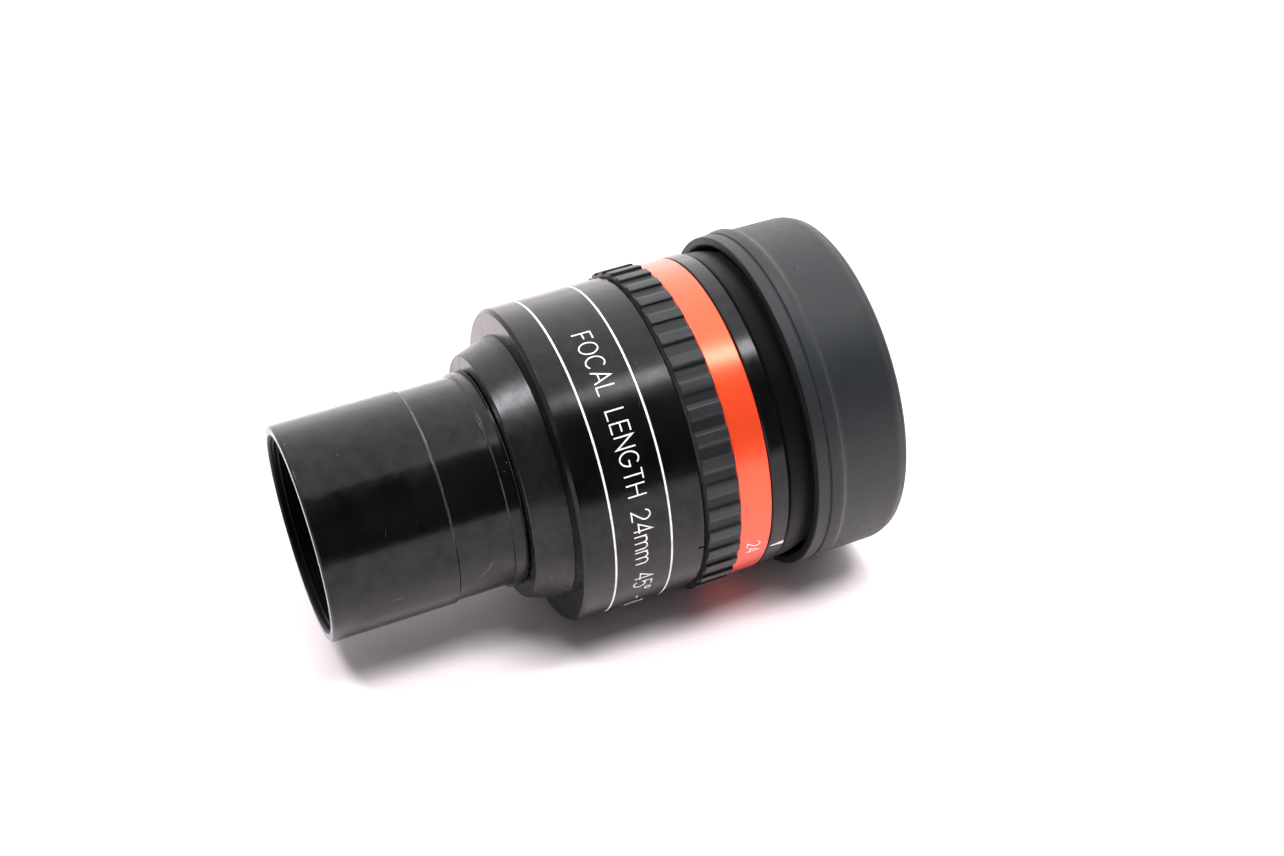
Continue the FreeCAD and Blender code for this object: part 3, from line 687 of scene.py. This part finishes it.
def anodised(name, dye, roughness, line_depth, wear=0.0):
    """Black anodising over fine turned lines, with light handling marks and a thin film."""
    s = Surface(name)
    lines = s.noise(s.stretched(9000, 60), detail=3.0, roughness=0.65)
    coarse = s.noise(s.stretched(2600, 90), detail=1.0)
    cloud = s.noise(s.place, 160, detail=3.0)
    mottle = s.noise(s.place, 620, detail=4.0, roughness=0.62)
    film = s.noise(s.place, 430, detail=6.0, roughness=0.72)
    scuffs = s.calc("MULTIPLY", s.scratches(cells=130, width=0.006, share=0.3), 0.6)
    marks = s.calc("MAXIMUM", scuffs, s.specks(cells=1500, size=0.12, share=0.02))
    marks = s.calc("MULTIPLY", marks, 0.3 + wear)
    thin_dye = tuple(c * 1.7 + 0.0004 for c in dye)
    colour = s.mix(s.span(cloud, 0.35, 0.7), dye, thin_dye)
    turned = s.spread(lines, roughness - 0.02, roughness + 0.03)
    rough = s.calc("ADD", turned, s.span(cloud, 0.4, 0.7, 0.0, 0.04))
    rough = s.calc("ADD", rough, s.span(mottle, 0.35, 0.75, 0.0, 0.05 + 0.08 * wear))
    rough = s.calc("MAXIMUM", rough, s.calc("MULTIPLY", marks, 0.5))
    s.set(base_color=s.mix(marks, colour, SCUFFED_BLACK))
    s.set(roughness=rough, ior=SURFACE_IOR, specular_ior_level=BLACK_SPECULAR)
    s.set(specular_tint=s.mix(s.span(film, 0.42, 0.66), COOL_TINT, FILM_TINT))
    s.set(normal=s.bump(coarse, line_depth, below=s.bump(lines, line_depth * 0.35)))
    return s


def black_anodised():
    """The gloss finish of the body and the head."""
    return anodised("black_anodised", BLACK_DYE, 0.15, 0.0009 * MM, wear=0.1).material


def satin_anodised():
    """The neck's rougher black finish, with plain turning lines."""
    return anodised("satin_anodised", SATIN_DYE, 0.24, 0.0025 * MM).material


def worn_edges(s, stations, half_width):
    """A mask of thin bare lines where the dye has rubbed off, kept to the upper side only, where
    they are a painted highlight.
    """
    x, _, z = s.xyz()
    # Only the upper side, where the light falls: this makes the bare lines a painted highlight
    highlight_side = s.span(z, *EDGE_HIGHLIGHT_HEIGHTS)
    patches = s.span(s.noise(s.place, 420), 0.36, 0.5, 0.35, 1.0)
    line = 0.0
    for station in stations:
        away = s.calc("ABSOLUTE", s.calc("SUBTRACT", x, station))
        near = s.span(away, half_width, half_width * 0.5)
        line = s.calc("MAXIMUM", near, line)
    return s.calc("MULTIPLY", line, s.calc("MULTIPLY", highlight_side, patches))


def nosepiece_anodised(rim_x, rear_x, wall_r):
    """Black anodising with bare metal on the rim and on the rear edge's upper side, where it is a
    painted highlight, and a dull bore.
    """
    s = anodised("nosepiece_anodised", BLACK_DYE, 0.12, 0.0006 * MM, wear=0.45)
    x, r = s.station_and_radius()
    rim = s.span(x, rim_x + 0.03 * MM, rim_x + 0.01 * MM)
    outside = s.span(r, wall_r, wall_r + 0.1 * MM)
    # The rear edge's bare line shows on the upper side only: a painted highlight
    edge = s.calc("MULTIPLY", worn_edges(s, (rear_x - 0.03 * MM,), 0.09 * MM), outside)
    bare = s.calc("MAXIMUM", rim, edge)
    not_rim = s.calc("SUBTRACT", 1.0, rim)
    inside = s.calc("MULTIPLY", s.calc("SUBTRACT", 1.0, outside), not_rim)
    seam = s.span(x, rear_x - 0.1 * MM, rear_x - 0.05 * MM)
    seam = s.calc("MULTIPLY", seam, s.calc("SUBTRACT", 1.0, edge))
    turned = s.noise(s.stretched(60, 2400))
    colour = s.mix(inside, s.so_far("base_color"), BORE_BLACK)
    # Bare metal: wear on the rim, a painted highlight on the rear edge
    colour = s.mix(bare, colour, s.mix(s.spread(turned), *BARE_RIM_AND_HIGHLIGHT_METAL))
    dull = s.calc("MAXIMUM", s.calc("MULTIPLY", bare, 0.28), s.calc("MULTIPLY", inside, 0.55))
    shaded = s.calc("MAXIMUM", inside, seam)
    s.set(base_color=colour, metallic=bare)
    s.set(roughness=s.calc("MAXIMUM", s.so_far("roughness"), dull))
    s.set(specular_tint=s.mix(shaded, s.so_far("specular_tint"), SHADED_TINT))
    return s.material


def adapter_anodised(stations):
    """Black anodising with the dye rubbed off the corners at these stations, on the upper side
    only, where the bare lines are a painted highlight.
    """
    s = anodised("adapter_anodised", BLACK_DYE, 0.12, 0.0007 * MM, wear=0.3)
    # The corners' bare lines show on the upper side only: a painted highlight
    edge = s.calc("MULTIPLY", worn_edges(s, stations, 0.05 * MM), 0.3)
    s.set(base_color=s.mix(edge, s.so_far("base_color"), CORNER_HIGHLIGHT_METAL), metallic=edge)
    s.set(roughness=s.calc("MAXIMUM", s.so_far("roughness"), s.calc("MULTIPLY", edge, 0.3)))
    return s.material


def matt_black():
    """The dull black of the parts inside."""
    s = Surface("matt_black")
    grain = s.noise(s.place, 5200)
    lines = s.noise(s.stretched(5200, 60))
    s.set(base_color=s.mix(grain, *MATT_BLACK), roughness=s.spread(lines, 0.42, 0.62))
    s.set(normal=s.bump(lines, 0.012 * MM, strength=0.8))
    return s.material


def orange_anodised():
    """Orange-red dye over turned aluminium."""
    s = Surface("orange_anodised")
    lines = s.noise(s.stretched(8200, 70), detail=3.0, roughness=0.6)
    cloud = s.noise(s.place, 140)
    marks = s.calc("MULTIPLY", s.specks(cells=1400, size=0.08, share=0.02), 0.4)
    rough = s.calc("ADD", s.spread(lines, 0.28, 0.31), s.span(cloud, 0.4, 0.7, 0.0, 0.04))
    dye = s.mix(s.spread(lines), *ORANGE_DYE)
    s.set(base_color=s.mix(marks, dye, SCUFFED_ORANGE), metallic=0.5, roughness=rough)
    s.set(ior=SURFACE_IOR, coat_weight=0.4, coat_roughness=0.21)
    s.set(normal=s.bump(lines, 0.00015 * MM))
    return s.material


def moulded_rubber(name, tones, roughness, grain_depth, dust):
    """Moulded rubber: a fine sand grain, a slow bloom over it, and dust caught in the grain."""
    s = Surface(name)
    grain = s.noise(s.place, 7500, roughness=0.6)
    mottle = s.noise(s.place, 900, detail=3.0, roughness=0.6)
    bloom = s.noise(s.place, 90, detail=3.0)
    fine_dust = s.specks(cells=2300, size=0.1, share=dust * 0.7)
    lint = s.calc("MAXIMUM", s.specks(cells=900, size=0.06, share=dust), fine_dust)
    lint = s.calc("MAXIMUM", lint, s.scratches(cells=260, width=0.003, share=0.3))
    rough = s.spread(mottle, roughness - 0.04, roughness + 0.05)
    rough = s.calc("ADD", rough, s.span(bloom, 0.35, 0.65, -0.03, 0.04))
    s.set(base_color=s.mix(s.calc("MULTIPLY", lint, 0.5), s.mix(s.spread(bloom), *tones), LINT))
    s.set(roughness=rough, ior=SURFACE_IOR, specular_ior_level=0.35)
    s.set(sheen_weight=0.04, sheen_roughness=0.5)
    below = s.bump(mottle, grain_depth * 1.6, strength=0.5)
    s.set(normal=s.bump(grain, grain_depth, strength=0.6, below=below))
    return s


def shade(s, shade_mask, kept, dark):
    """Paints shade on a surface where other parts shadow it: its colour and reflection drop to a
    share of their light.
    """
    s.set(base_color=s.mix(shade_mask, s.so_far("base_color"), tuple(kept * c for c in dark)))
    s.set(specular_tint=s.mix(shade_mask, (1.0, 1.0, 1.0), (kept, kept, kept)))


def grip_rubber(gap_r):
    """The grip's rubber, with painted shade in the gaps between its pads."""
    s = moulded_rubber("grip_rubber", GRIP_TONES, 0.43, 0.009 * MM, dust=0.12)
    _, r = s.station_and_radius()
    # Painted shade in the gaps and on the pads' low sides
    shade(s, s.span(r, gap_r + 0.36 * MM, gap_r + 0.3 * MM), 0.72, GRIP_TONES[0])
    return s.material


def cup_rubber(lip_x):
    """The eyecup's rubber, with painted shade in front of its lip, where the parts round it shadow
    it.
    """
    s = moulded_rubber("eyecup_rubber", CUP_TONES, 0.48, 0.005 * MM, dust=0.02)
    x, _ = s.station_and_radius()
    # Painted shade in front of the lip
    shade(s, s.span(x, lip_x + 0.3 * MM, lip_x + 0.05 * MM), 0.15, CUP_TONES[0])
    return s.material


def white_paint():
    """White ink, thin in places."""
    s = Surface("white_paint")
    thin = s.noise(s.place, 1500, detail=3.0, roughness=0.6)
    s.set(base_color=s.mix(s.span(thin, 0.3, 0.62), *PAINT_TONES))
    s.set(roughness=s.spread(thin, 0.38, 0.55), normal=s.bump(thin, 0.006 * MM))
    return s.material


def coated_glass():
    """Lens glass with a green anti-reflection coating."""
    s = Surface("coated_glass")
    haze = s.noise(s.place, 300, detail=3.0)
    dust = s.specks(cells=700, size=0.05, share=0.05)
    rough = s.calc("MAXIMUM", s.span(haze, 0.4, 0.7, 0.0, 0.02), s.calc("MULTIPLY", dust, 0.4))
    s.set(base_color=s.mix(s.calc("MULTIPLY", dust, 0.5), CLEAR_GLASS, GLASS_DUST))
    s.set(roughness=rough, transmission_weight=1.0, ior=GLASS_IOR, specular_tint=COATING_TINT)
    return s.material


def plain_metal(name, tones, roughness):
    """A bright turned metal."""
    s = Surface(name)
    lines = s.noise(s.stretched(6000, 300), detail=3.0)
    s.set(base_color=s.mix(lines, *tones), metallic=1.0)
    s.set(roughness=s.spread(lines, roughness - 0.06, roughness + 0.08))
    s.set(normal=s.bump(lines, 0.004 * MM))
    return s.material


def nylon():
    """The glide washers' plain plastic."""
    s = Surface("nylon")
    cloud = s.noise(s.place, 900, detail=3.0)
    s.set(base_color=s.mix(cloud, *NYLON_TONES), subsurface_weight=0.15)
    s.set(roughness=s.spread(cloud, 0.4, 0.55), normal=s.bump(cloud, 0.01 * MM))
    return s.material


def paper():
    """The floor's plain pale paper."""
    s = Surface("floor_paper")
    fibre = s.noise(s.place, 900, detail=3.0)
    s.set(base_color=s.mix(fibre, *PAPER_TONES))
    s.set(roughness=s.spread(fibre, 0.65, 0.8), normal=s.bump(fibre, 0.02 * MM))
    return s.material


# ---- pieces

def main_body_piece(material):
    """The body shell, with the small reference notch in its rear edge."""
    plain = section("main_body")
    _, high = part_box("main_body")
    notched = cut_corner(plain, high.x - NOTCH_LENGTH, high.z - NOTCH_DEPTH)
    first, last = NOTCH_ANGLE - NOTCH_HALF_ANGLE, NOTCH_ANGLE + NOTCH_HALF_ANGLE
    sweep = 2 * NOTCH_HALF_ANGLE
    lists = ([], [], [])
    whole = rounded(plain, METAL_EDGE)
    part = rounded(notched, METAL_EDGE)
    add_turned(*lists, whole, last, 360 - sweep, True)
    add_end(*lists, whole, last, -1)
    add_end(*lists, whole, first, 1)
    add_turned(*lists, part, first, sweep, True)
    add_end(*lists, part, first, -1)
    add_end(*lists, part, last, 1)
    piece = solid("body_shell", *lists, material, "eyepiece_body", "black_anodised")
    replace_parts(piece, "main_body")


def cut_corner(points, front_x, floor_r):
    """An outline with its rear outer corner cut away behind a station and outside a radius."""
    kept = [p for p in points if not (p[0] > front_x and p[1] > floor_r)]
    rear_x = max(p[0] for p in points)
    outer_r = max(p[1] for p in points)
    corner = [(rear_x, floor_r), (front_x, floor_r), (front_x, outer_r)]
    place = next(i for i, p in enumerate(kept) if abs(p[0] - rear_x) < WELD)
    return kept[:place + 1] + corner + kept[place + 1:]


def paint_rings(material):
    """White paint in the body's two lines. Returns their middle station and the radius."""
    outline = section("main_body")
    top = max(r for _, r in outline)
    least, most = GROOVE_DEPTHS
    floor_points = [p for p in outline if least < top - p[1] < most]
    stations = sorted(x for x, _ in floor_points)
    floor_r = floor_points[0][1]
    for name, front, rear in (("front_line", *stations[:2]), ("rear_line", *stations[2:])):
        surface_r = top - PAINT_RECESS
        corners = [(front, floor_r), (rear, floor_r), (rear, surface_r), (front, surface_r)]
        outline = rounded(corners, PAINT_EDGE)
        turned_piece(name, outline, material, "eyepiece_body", "white_paint")
    return sum(stations) / len(stations), top


def body_lettering(material, middle_x, radius):
    """Generic dial text between the body's two lines."""
    ink = Ink(radius)
    base_x = middle_x - CAP_HEIGHT / 2
    ink.write(BODY_TEXT, BODY_TEXT_START, base_x, CAP_HEIGHT, STROKE_WIDTH)
    ink.piece("body_lettering", material, "eyepiece_body")


def scale_numerals(material):
    """Focal lengths on the scale ring; the first is at the index at rest."""
    low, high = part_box("scale_ring")
    base_x = (low.x + high.x) / 2 - NUMERAL_HEIGHT / 2
    turn = next(j for j in frame["joints"] if j["name"] == "zoom_turn")
    span = turn["range_deg"][1] - turn["range_deg"][0]
    ink = Ink(high.z)
    for index, number in enumerate(SCALE_MARKS):
        text = str(number)
        width = math.degrees(text_width(text) * NUMERAL_HEIGHT / high.z)
        centre = FIRST_NUMERAL_ANGLE + span * index / (len(SCALE_MARKS) - 1)
        ink.write(text, centre - width / 2, base_x, NUMERAL_HEIGHT, NUMERAL_STROKE)
    ink.piece("scale_numerals", material, "zoom_ring")


def index_mark(material):
    """The white wedge on the index flange, narrow end towards the scale."""
    outline = section("eye_head")
    top = max(r for _, r in outline)
    flange = [x for x, r in outline if top - r < TOP_ZONE]
    start, rear = min(flange) + INDEX_SETBACK * MM, max(flange)
    left, right = [], []
    for step in range(INDEX_STEPS + 1):
        x = start + (rear - start) * step / INDEX_STEPS
        half = (INDEX_NARROW + INDEX_GROWTH * step / INDEX_STEPS) * MM
        left.append((half, x))
        right.append((-half, x))
    ink = Ink(top)
    ink.band(left, right, False, INDEX_ANGLE)
    ink.piece("index_mark", material, "eyepiece_body")


def grip_columns(gap_r, pad_r):
    """The grip's radius at each angle of its surface: pads and equal gaps with soft sides."""
    half_pitch = 180 / GRIP_PADS
    soft = math.degrees(PAD_SOFTNESS / pad_r)
    flat = half_pitch - 2 * soft
    columns = []
    for index in range(2 * GRIP_PADS):
        angle = FIRST_PAD_ANGLE + index * half_pitch
        first, second = (pad_r, gap_r) if index % 2 else (gap_r, pad_r)
        for step in range(-PAD_SIDE_STEPS, PAD_SIDE_STEPS + 1):
            part = step / PAD_SIDE_STEPS
            share = 0.5 + 0.5 * math.sin(part * math.pi / 2)
            columns.append((angle + part * soft, first + (second - first) * share))
        for step in range(1, PAD_TOP_STEPS):
            columns.append((angle + soft + flat * step / PAD_TOP_STEPS, second))
    return columns


def grip_rows(front_x, rear_x):
    """The grip's stations with the drop below the surface there, None for the bore's edges."""
    turns = [math.pi / 2 * step / GRIP_EDGE_STEPS for step in range(GRIP_EDGE_STEPS + 1)]
    arc = [(GRIP_EDGE * (1 - math.cos(t)), GRIP_EDGE * (1 - math.sin(t))) for t in turns]
    front = [(front_x + along, drop) for along, drop in arc]
    rear = [(rear_x - drop, along) for along, drop in arc]
    start, length = front_x + GRIP_EDGE, rear_x - front_x - 2 * GRIP_EDGE
    middle = [(start + length * share, 0.0) for share in GRIP_ROWS]
    return [(front_x, None)] + front + middle + rear + [(rear_x, None)]


def grip_piece(material):
    """The rubber grip: raised pads and equal gaps, soft at every edge."""
    low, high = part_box("grip_rubber")
    outline = section("grip_rubber")
    gap_r = max(r for _, r in outline)
    inner_r = min(r for _, r in outline)
    columns = grip_columns(gap_r, high.z)
    rows = grip_rows(low.x, high.x)
    vertices, faces = [], []
    for angle, r in columns:
        for x, drop in rows:
            vertices.append(point_at(x, inner_r if drop is None else r - drop, angle))
    for column in range(len(columns)):
        here = column * len(rows)
        there = (column + 1) % len(columns) * len(rows)
        for row in range(len(rows)):
            after = (row + 1) % len(rows)
            faces.append((here + row, there + row, there + after, here + after))
    piece = solid("rubber_grip", vertices, None, faces, material, "zoom_ring", "grip_rubber")
    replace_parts(piece, "grip_rubber")


def filter_thread(material):
    """The filter thread's ridge, inside the mouth of the nosepiece."""
    low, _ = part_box("nosepiece_sleeve")
    foot_r = THREAD_R + THREAD_SINK
    last_step = round(THREAD_TURNS * THREAD_STEPS)
    vertices, faces = [], []
    for step in range(last_step + 1):
        angle = 360 * step / THREAD_STEPS
        x = low.x + THREAD_START + THREAD_PITCH * step / THREAD_STEPS
        fade = min(1.0, step / THREAD_FADE_STEPS, (last_step - step) / THREAD_FADE_STEPS)
        crest_r = THREAD_R - THREAD_HEIGHT * fade
        vertices.append(point_at(x - THREAD_FOOT, foot_r, angle))
        vertices.append(point_at(x - THREAD_CREST, crest_r, angle))
        vertices.append(point_at(x + THREAD_CREST, crest_r, angle))
        vertices.append(point_at(x + THREAD_FOOT, foot_r, angle))
    for step in range(last_step):
        here, there = 4 * step, 4 * (step + 1)
        for side in range(4):
            after = (side + 1) % 4
            faces.append((here + side, there + side, there + after, here + after))
    end = 4 * last_step
    faces.append((0, 1, 2, 3))
    faces.append((end + 3, end + 2, end + 1, end))
    name, body = "filter_thread_ridge", "eyepiece_body"
    piece = solid(name, vertices, None, faces, material, body, "matt_black_metal")
    piece.data.shade_flat()


def lens_piece(name, node, material, body):
    """A lens element with smooth spherical faces, turned from an outline that ends on the axis."""
    outline = section(node)
    middle = (min(x for x, _ in outline) + max(x for x, _ in outline)) / 2
    outline = [(middle + (x - middle) * LENS_SLIM, r) for x, r in outline]
    if outline[0][1] > 0:
        begin = max(index for index, point in enumerate(outline) if point[1] == 0)
        outline = outline[begin:] + outline[:begin]
    outline = rounded(outline, METAL_EDGE, False)
    piece = turned_piece(name, outline, material, body, "coated_glass", False)
    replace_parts(piece, node)


# ---- stage

def floor_plane():
    """The floor's normal and a point: the part rests on its body's front edge and its eyecup."""
    contacts = []
    for node in ("main_body", "eyecup_rubber"):
        outline = section(node)
        top = max(r for _, r in outline)
        contacts.append(min(p for p in outline if top - p[1] < TOP_ZONE))
    (x0, r0), (x1, r1) = contacts
    along = Vector((x1 - x0, 0, r0 - r1)).normalized()
    normal = Vector((-along.z, 0, along.x))
    return normal, Vector((x0, 0, -r0))


def make_floor(normal, point):
    """A large sheet of paper under the part."""
    mesh = bpy.data.meshes.new("floor")
    half = FLOOR_SIZE / 2
    corners = [(-half, -half, 0), (half, -half, 0), (half, half, 0), (-half, half, 0)]
    mesh.from_pydata(corners, [], [(0, 1, 2, 3)])
    mesh.materials.append(paper())
    floor = add_object("floor", mesh)
    turn = Vector((0, 0, 1)).rotation_difference(normal)
    floor.matrix_world = Matrix.Translation(point) @ turn.to_matrix().to_4x4()


def make_camera():
    """The camera, from above and from the nosepiece's side."""
    data = bpy.data.cameras.new("camera")
    data.lens = CAMERA_LENS
    data.sensor_width = CAMERA_SENSOR
    data.clip_start, data.clip_end = CAMERA_CLIP
    camera = add_object("camera", data)
    azimuth, elevation = math.radians(CAMERA_AZIMUTH), math.radians(CAMERA_ELEVATION)
    back = Vector((
        math.sin(azimuth) * math.cos(elevation),
        -math.cos(azimuth) * math.cos(elevation),
        math.sin(elevation),
    ))
    up = Vector((math.sin(CAMERA_LEAN), 0, math.cos(CAMERA_LEAN)))
    right = up.cross(back).normalized()
    level = back.cross(right)
    low, high = CAD_BOX
    aim = (low + high) / 2 + CAMERA_AIM
    turn = Matrix((right, level, back)).transposed().to_4x4()
    camera.matrix_world = Matrix.Translation(aim + back * CAMERA_DISTANCE) @ turn
    bpy.context.scene.camera = camera


def make_sky():
    """A white tent behind and above, dark on the camera's side, with soft lamps inside it."""
    world = bpy.data.worlds.new("studio")
    bpy.context.scene.world = world
    sky = Nodes(world)
    place = sky.add("ShaderNodeTexCoord", {}).outputs["Generated"]

    def ramp(direction, low, high):
        """From 0 to 1 as the cosine of the angle to a direction goes from low to high."""
        inputs = {0: place, 1: Vector(direction).normalized()}
        toward = sky.add("ShaderNodeVectorMath", inputs, operation="DOT_PRODUCT")
        return sky.span(toward.outputs["Value"], low, high, interpolation_type="SMOOTHSTEP")

    def between(share, low, high):
        return sky.calc("ADD", low, sky.calc("MULTIPLY", share, high - low))

    edge = (0, math.sin(TENT_EDGE), math.cos(TENT_EDGE))
    tent = ramp(edge, -TENT_SOFTNESS, TENT_SOFTNESS)
    depth = between(ramp((0, 1, 0), *TENT_DEPTH), TENT_FRONT, TENT_BACK)
    side = between(ramp((1, 0, 0), *TENT_SIDES), TENT_LEFT, TENT_RIGHT)
    tent = sky.calc("MULTIPLY", sky.calc("MULTIPLY", tent, depth), side)
    light = sky.calc("ADD", tent, ALL_ROUND)
    for direction, narrow, wide, power in LAMPS:
        lamp = ramp(direction, math.cos(math.radians(wide)), math.cos(math.radians(narrow)))
        light = sky.calc("ADD", light, sky.calc("MULTIPLY", lamp, power))
    path = sky.add("ShaderNodeLightPath", {}).outputs
    dimmed = sky.calc("MULTIPLY", path["Is Diffuse Ray"], 1.0 - TENT_MATT_SHARE)
    light = sky.calc("MULTIPLY", light, sky.calc("SUBTRACT", 1.0, dimmed))
    # The camera sees plain white instead of the tent
    seen = path["Is Camera Ray"]
    light = sky.calc("MULTIPLY", light, sky.calc("SUBTRACT", 1.0, seen))
    background = world.node_tree.nodes["Background"].inputs
    sky.feed(background["Strength"], sky.calc("ADD", light, seen))
    sky.feed(background["Color"], SKY_COLOUR)


def make_soft_light(name, place, size, power):
    """A square light that faces the part and isn't mirrored in it."""
    data = bpy.data.lights.new(name, "AREA")
    data.shape = "SQUARE"
    data.size = size
    data.energy = power
    light = add_object(name, data)
    turn = place.to_track_quat("Z", "Y")
    light.matrix_world = Matrix.Translation(place) @ turn.to_matrix().to_4x4()
    light.visible_glossy = False


# ---- assembly

def dress_nodes():
    """Materials for the CAD nodes; those that a piece replaces don't show."""
    matt = matt_black()
    steel = plain_metal("steel", STEEL_TONES, 0.3)
    brass = plain_metal("brass", BRASS_TONES, 0.28)
    special = dict.fromkeys(("front_glide_washer", "rear_glide_washer"), nylon())
    special.update(dict.fromkeys(("head_grub_screws", "hub_screws", "stop_pin"), steel))
    brass_nodes = ("cam_tube", "middle_follower_pins", "field_follower_pins")
    special.update(dict.fromkeys(brass_nodes, brass))
    for name, node in frame["nodes"].items():
        node.data.materials.clear()
        node.data.materials.append(special.get(name, matt))


def build_shells(black, nose, sleeve_r):
    """The outer metal, the eyecup and the eye lens cell."""
    adapter = adapter_anodised(outer_corners("nosepiece_adapter", sleeve_r - CORNER_MARGIN))
    skirt_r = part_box("eye_head")[1].z + SKIRT_MARGIN
    cup = cup_rubber(min(x for x, r in section("eyecup_rubber") if r > skirt_r))
    turned_nodes = (
        ("sleeve_shell", "nosepiece_sleeve", nose, SEAM_EDGE, "black_anodised"),
        ("adapter_shell", "nosepiece_adapter", adapter, SEAM_EDGE, "black_anodised"),
        ("neck_shell", "neck_cone", satin_anodised(), METAL_EDGE, "black_anodised"),
        ("eyecup_shell", "eyecup_rubber", cup, RUBBER_EDGE, "eyecup_rubber"),
        ("eye_cell_shell", "eye_lens_cell", black, METAL_EDGE, "matt_black_metal"),
    )
    for piece_name, node, material, edge, slot in turned_nodes:
        outline = rounded(section(node), edge)
        piece = turned_piece(piece_name, outline, material, "eyepiece_body", slot)
        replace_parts(piece, node)
    smooth_copy("head_shell", "eye_head", black, "eyepiece_body")
    ring = rounded(section("scale_ring"), METAL_EDGE)
    orange = orange_anodised()
    piece = turned_piece("scale_shell", ring, orange, "zoom_ring", "orange_anodised")
    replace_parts(piece, "scale_ring")
    main_body_piece(black)


def build_paint():
    """Lines, lettering, numerals and the index mark."""
    paint = white_paint()
    middle_x, body_r = paint_rings(paint)
    body_lettering(paint, middle_x, body_r)
    scale_numerals(paint)
    index_mark(paint)


def build_lenses():
    """All seven lens elements."""
    glass = coated_glass()
    lens_bodies = (
        ("eyepiece_body", ("eye_singlet", "eye_doublet_flint", "eye_doublet_crown")),
        ("middle_group", ("middle_doublet_flint", "middle_doublet_crown")),
        ("field_group", ("field_doublet_flint", "field_doublet_crown")),
    )
    for body, nodes in lens_bodies:
        for node in nodes:
            lens_piece(node + "_glass", node, glass, body)


def build_part():
    """Every piece of the part, and materials for the CAD nodes that stay."""
    dress_nodes()
    black = black_anodised()
    low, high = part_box("nosepiece_sleeve")
    nose = nosepiece_anodised(low.x, high.x, high.z - BORE_MARGIN)
    build_shells(black, nose, high.z)
    build_paint()
    grip_piece(grip_rubber(max(r for _, r in section("grip_rubber"))))
    filter_thread(nose)
    build_lenses()


def build_stage():
    """Floor, camera and light."""
    make_floor(*floor_plane())
    make_camera()
    make_sky()
    make_soft_light("fill", FILL_PLACE, FILL_SIZE, FILL_POWER)
    make_soft_light("top", TOP_PLACE, TOP_SIZE, TOP_POWER)
    bpy.context.scene.view_settings.view_transform = "Standard"


build_part()
build_stage()
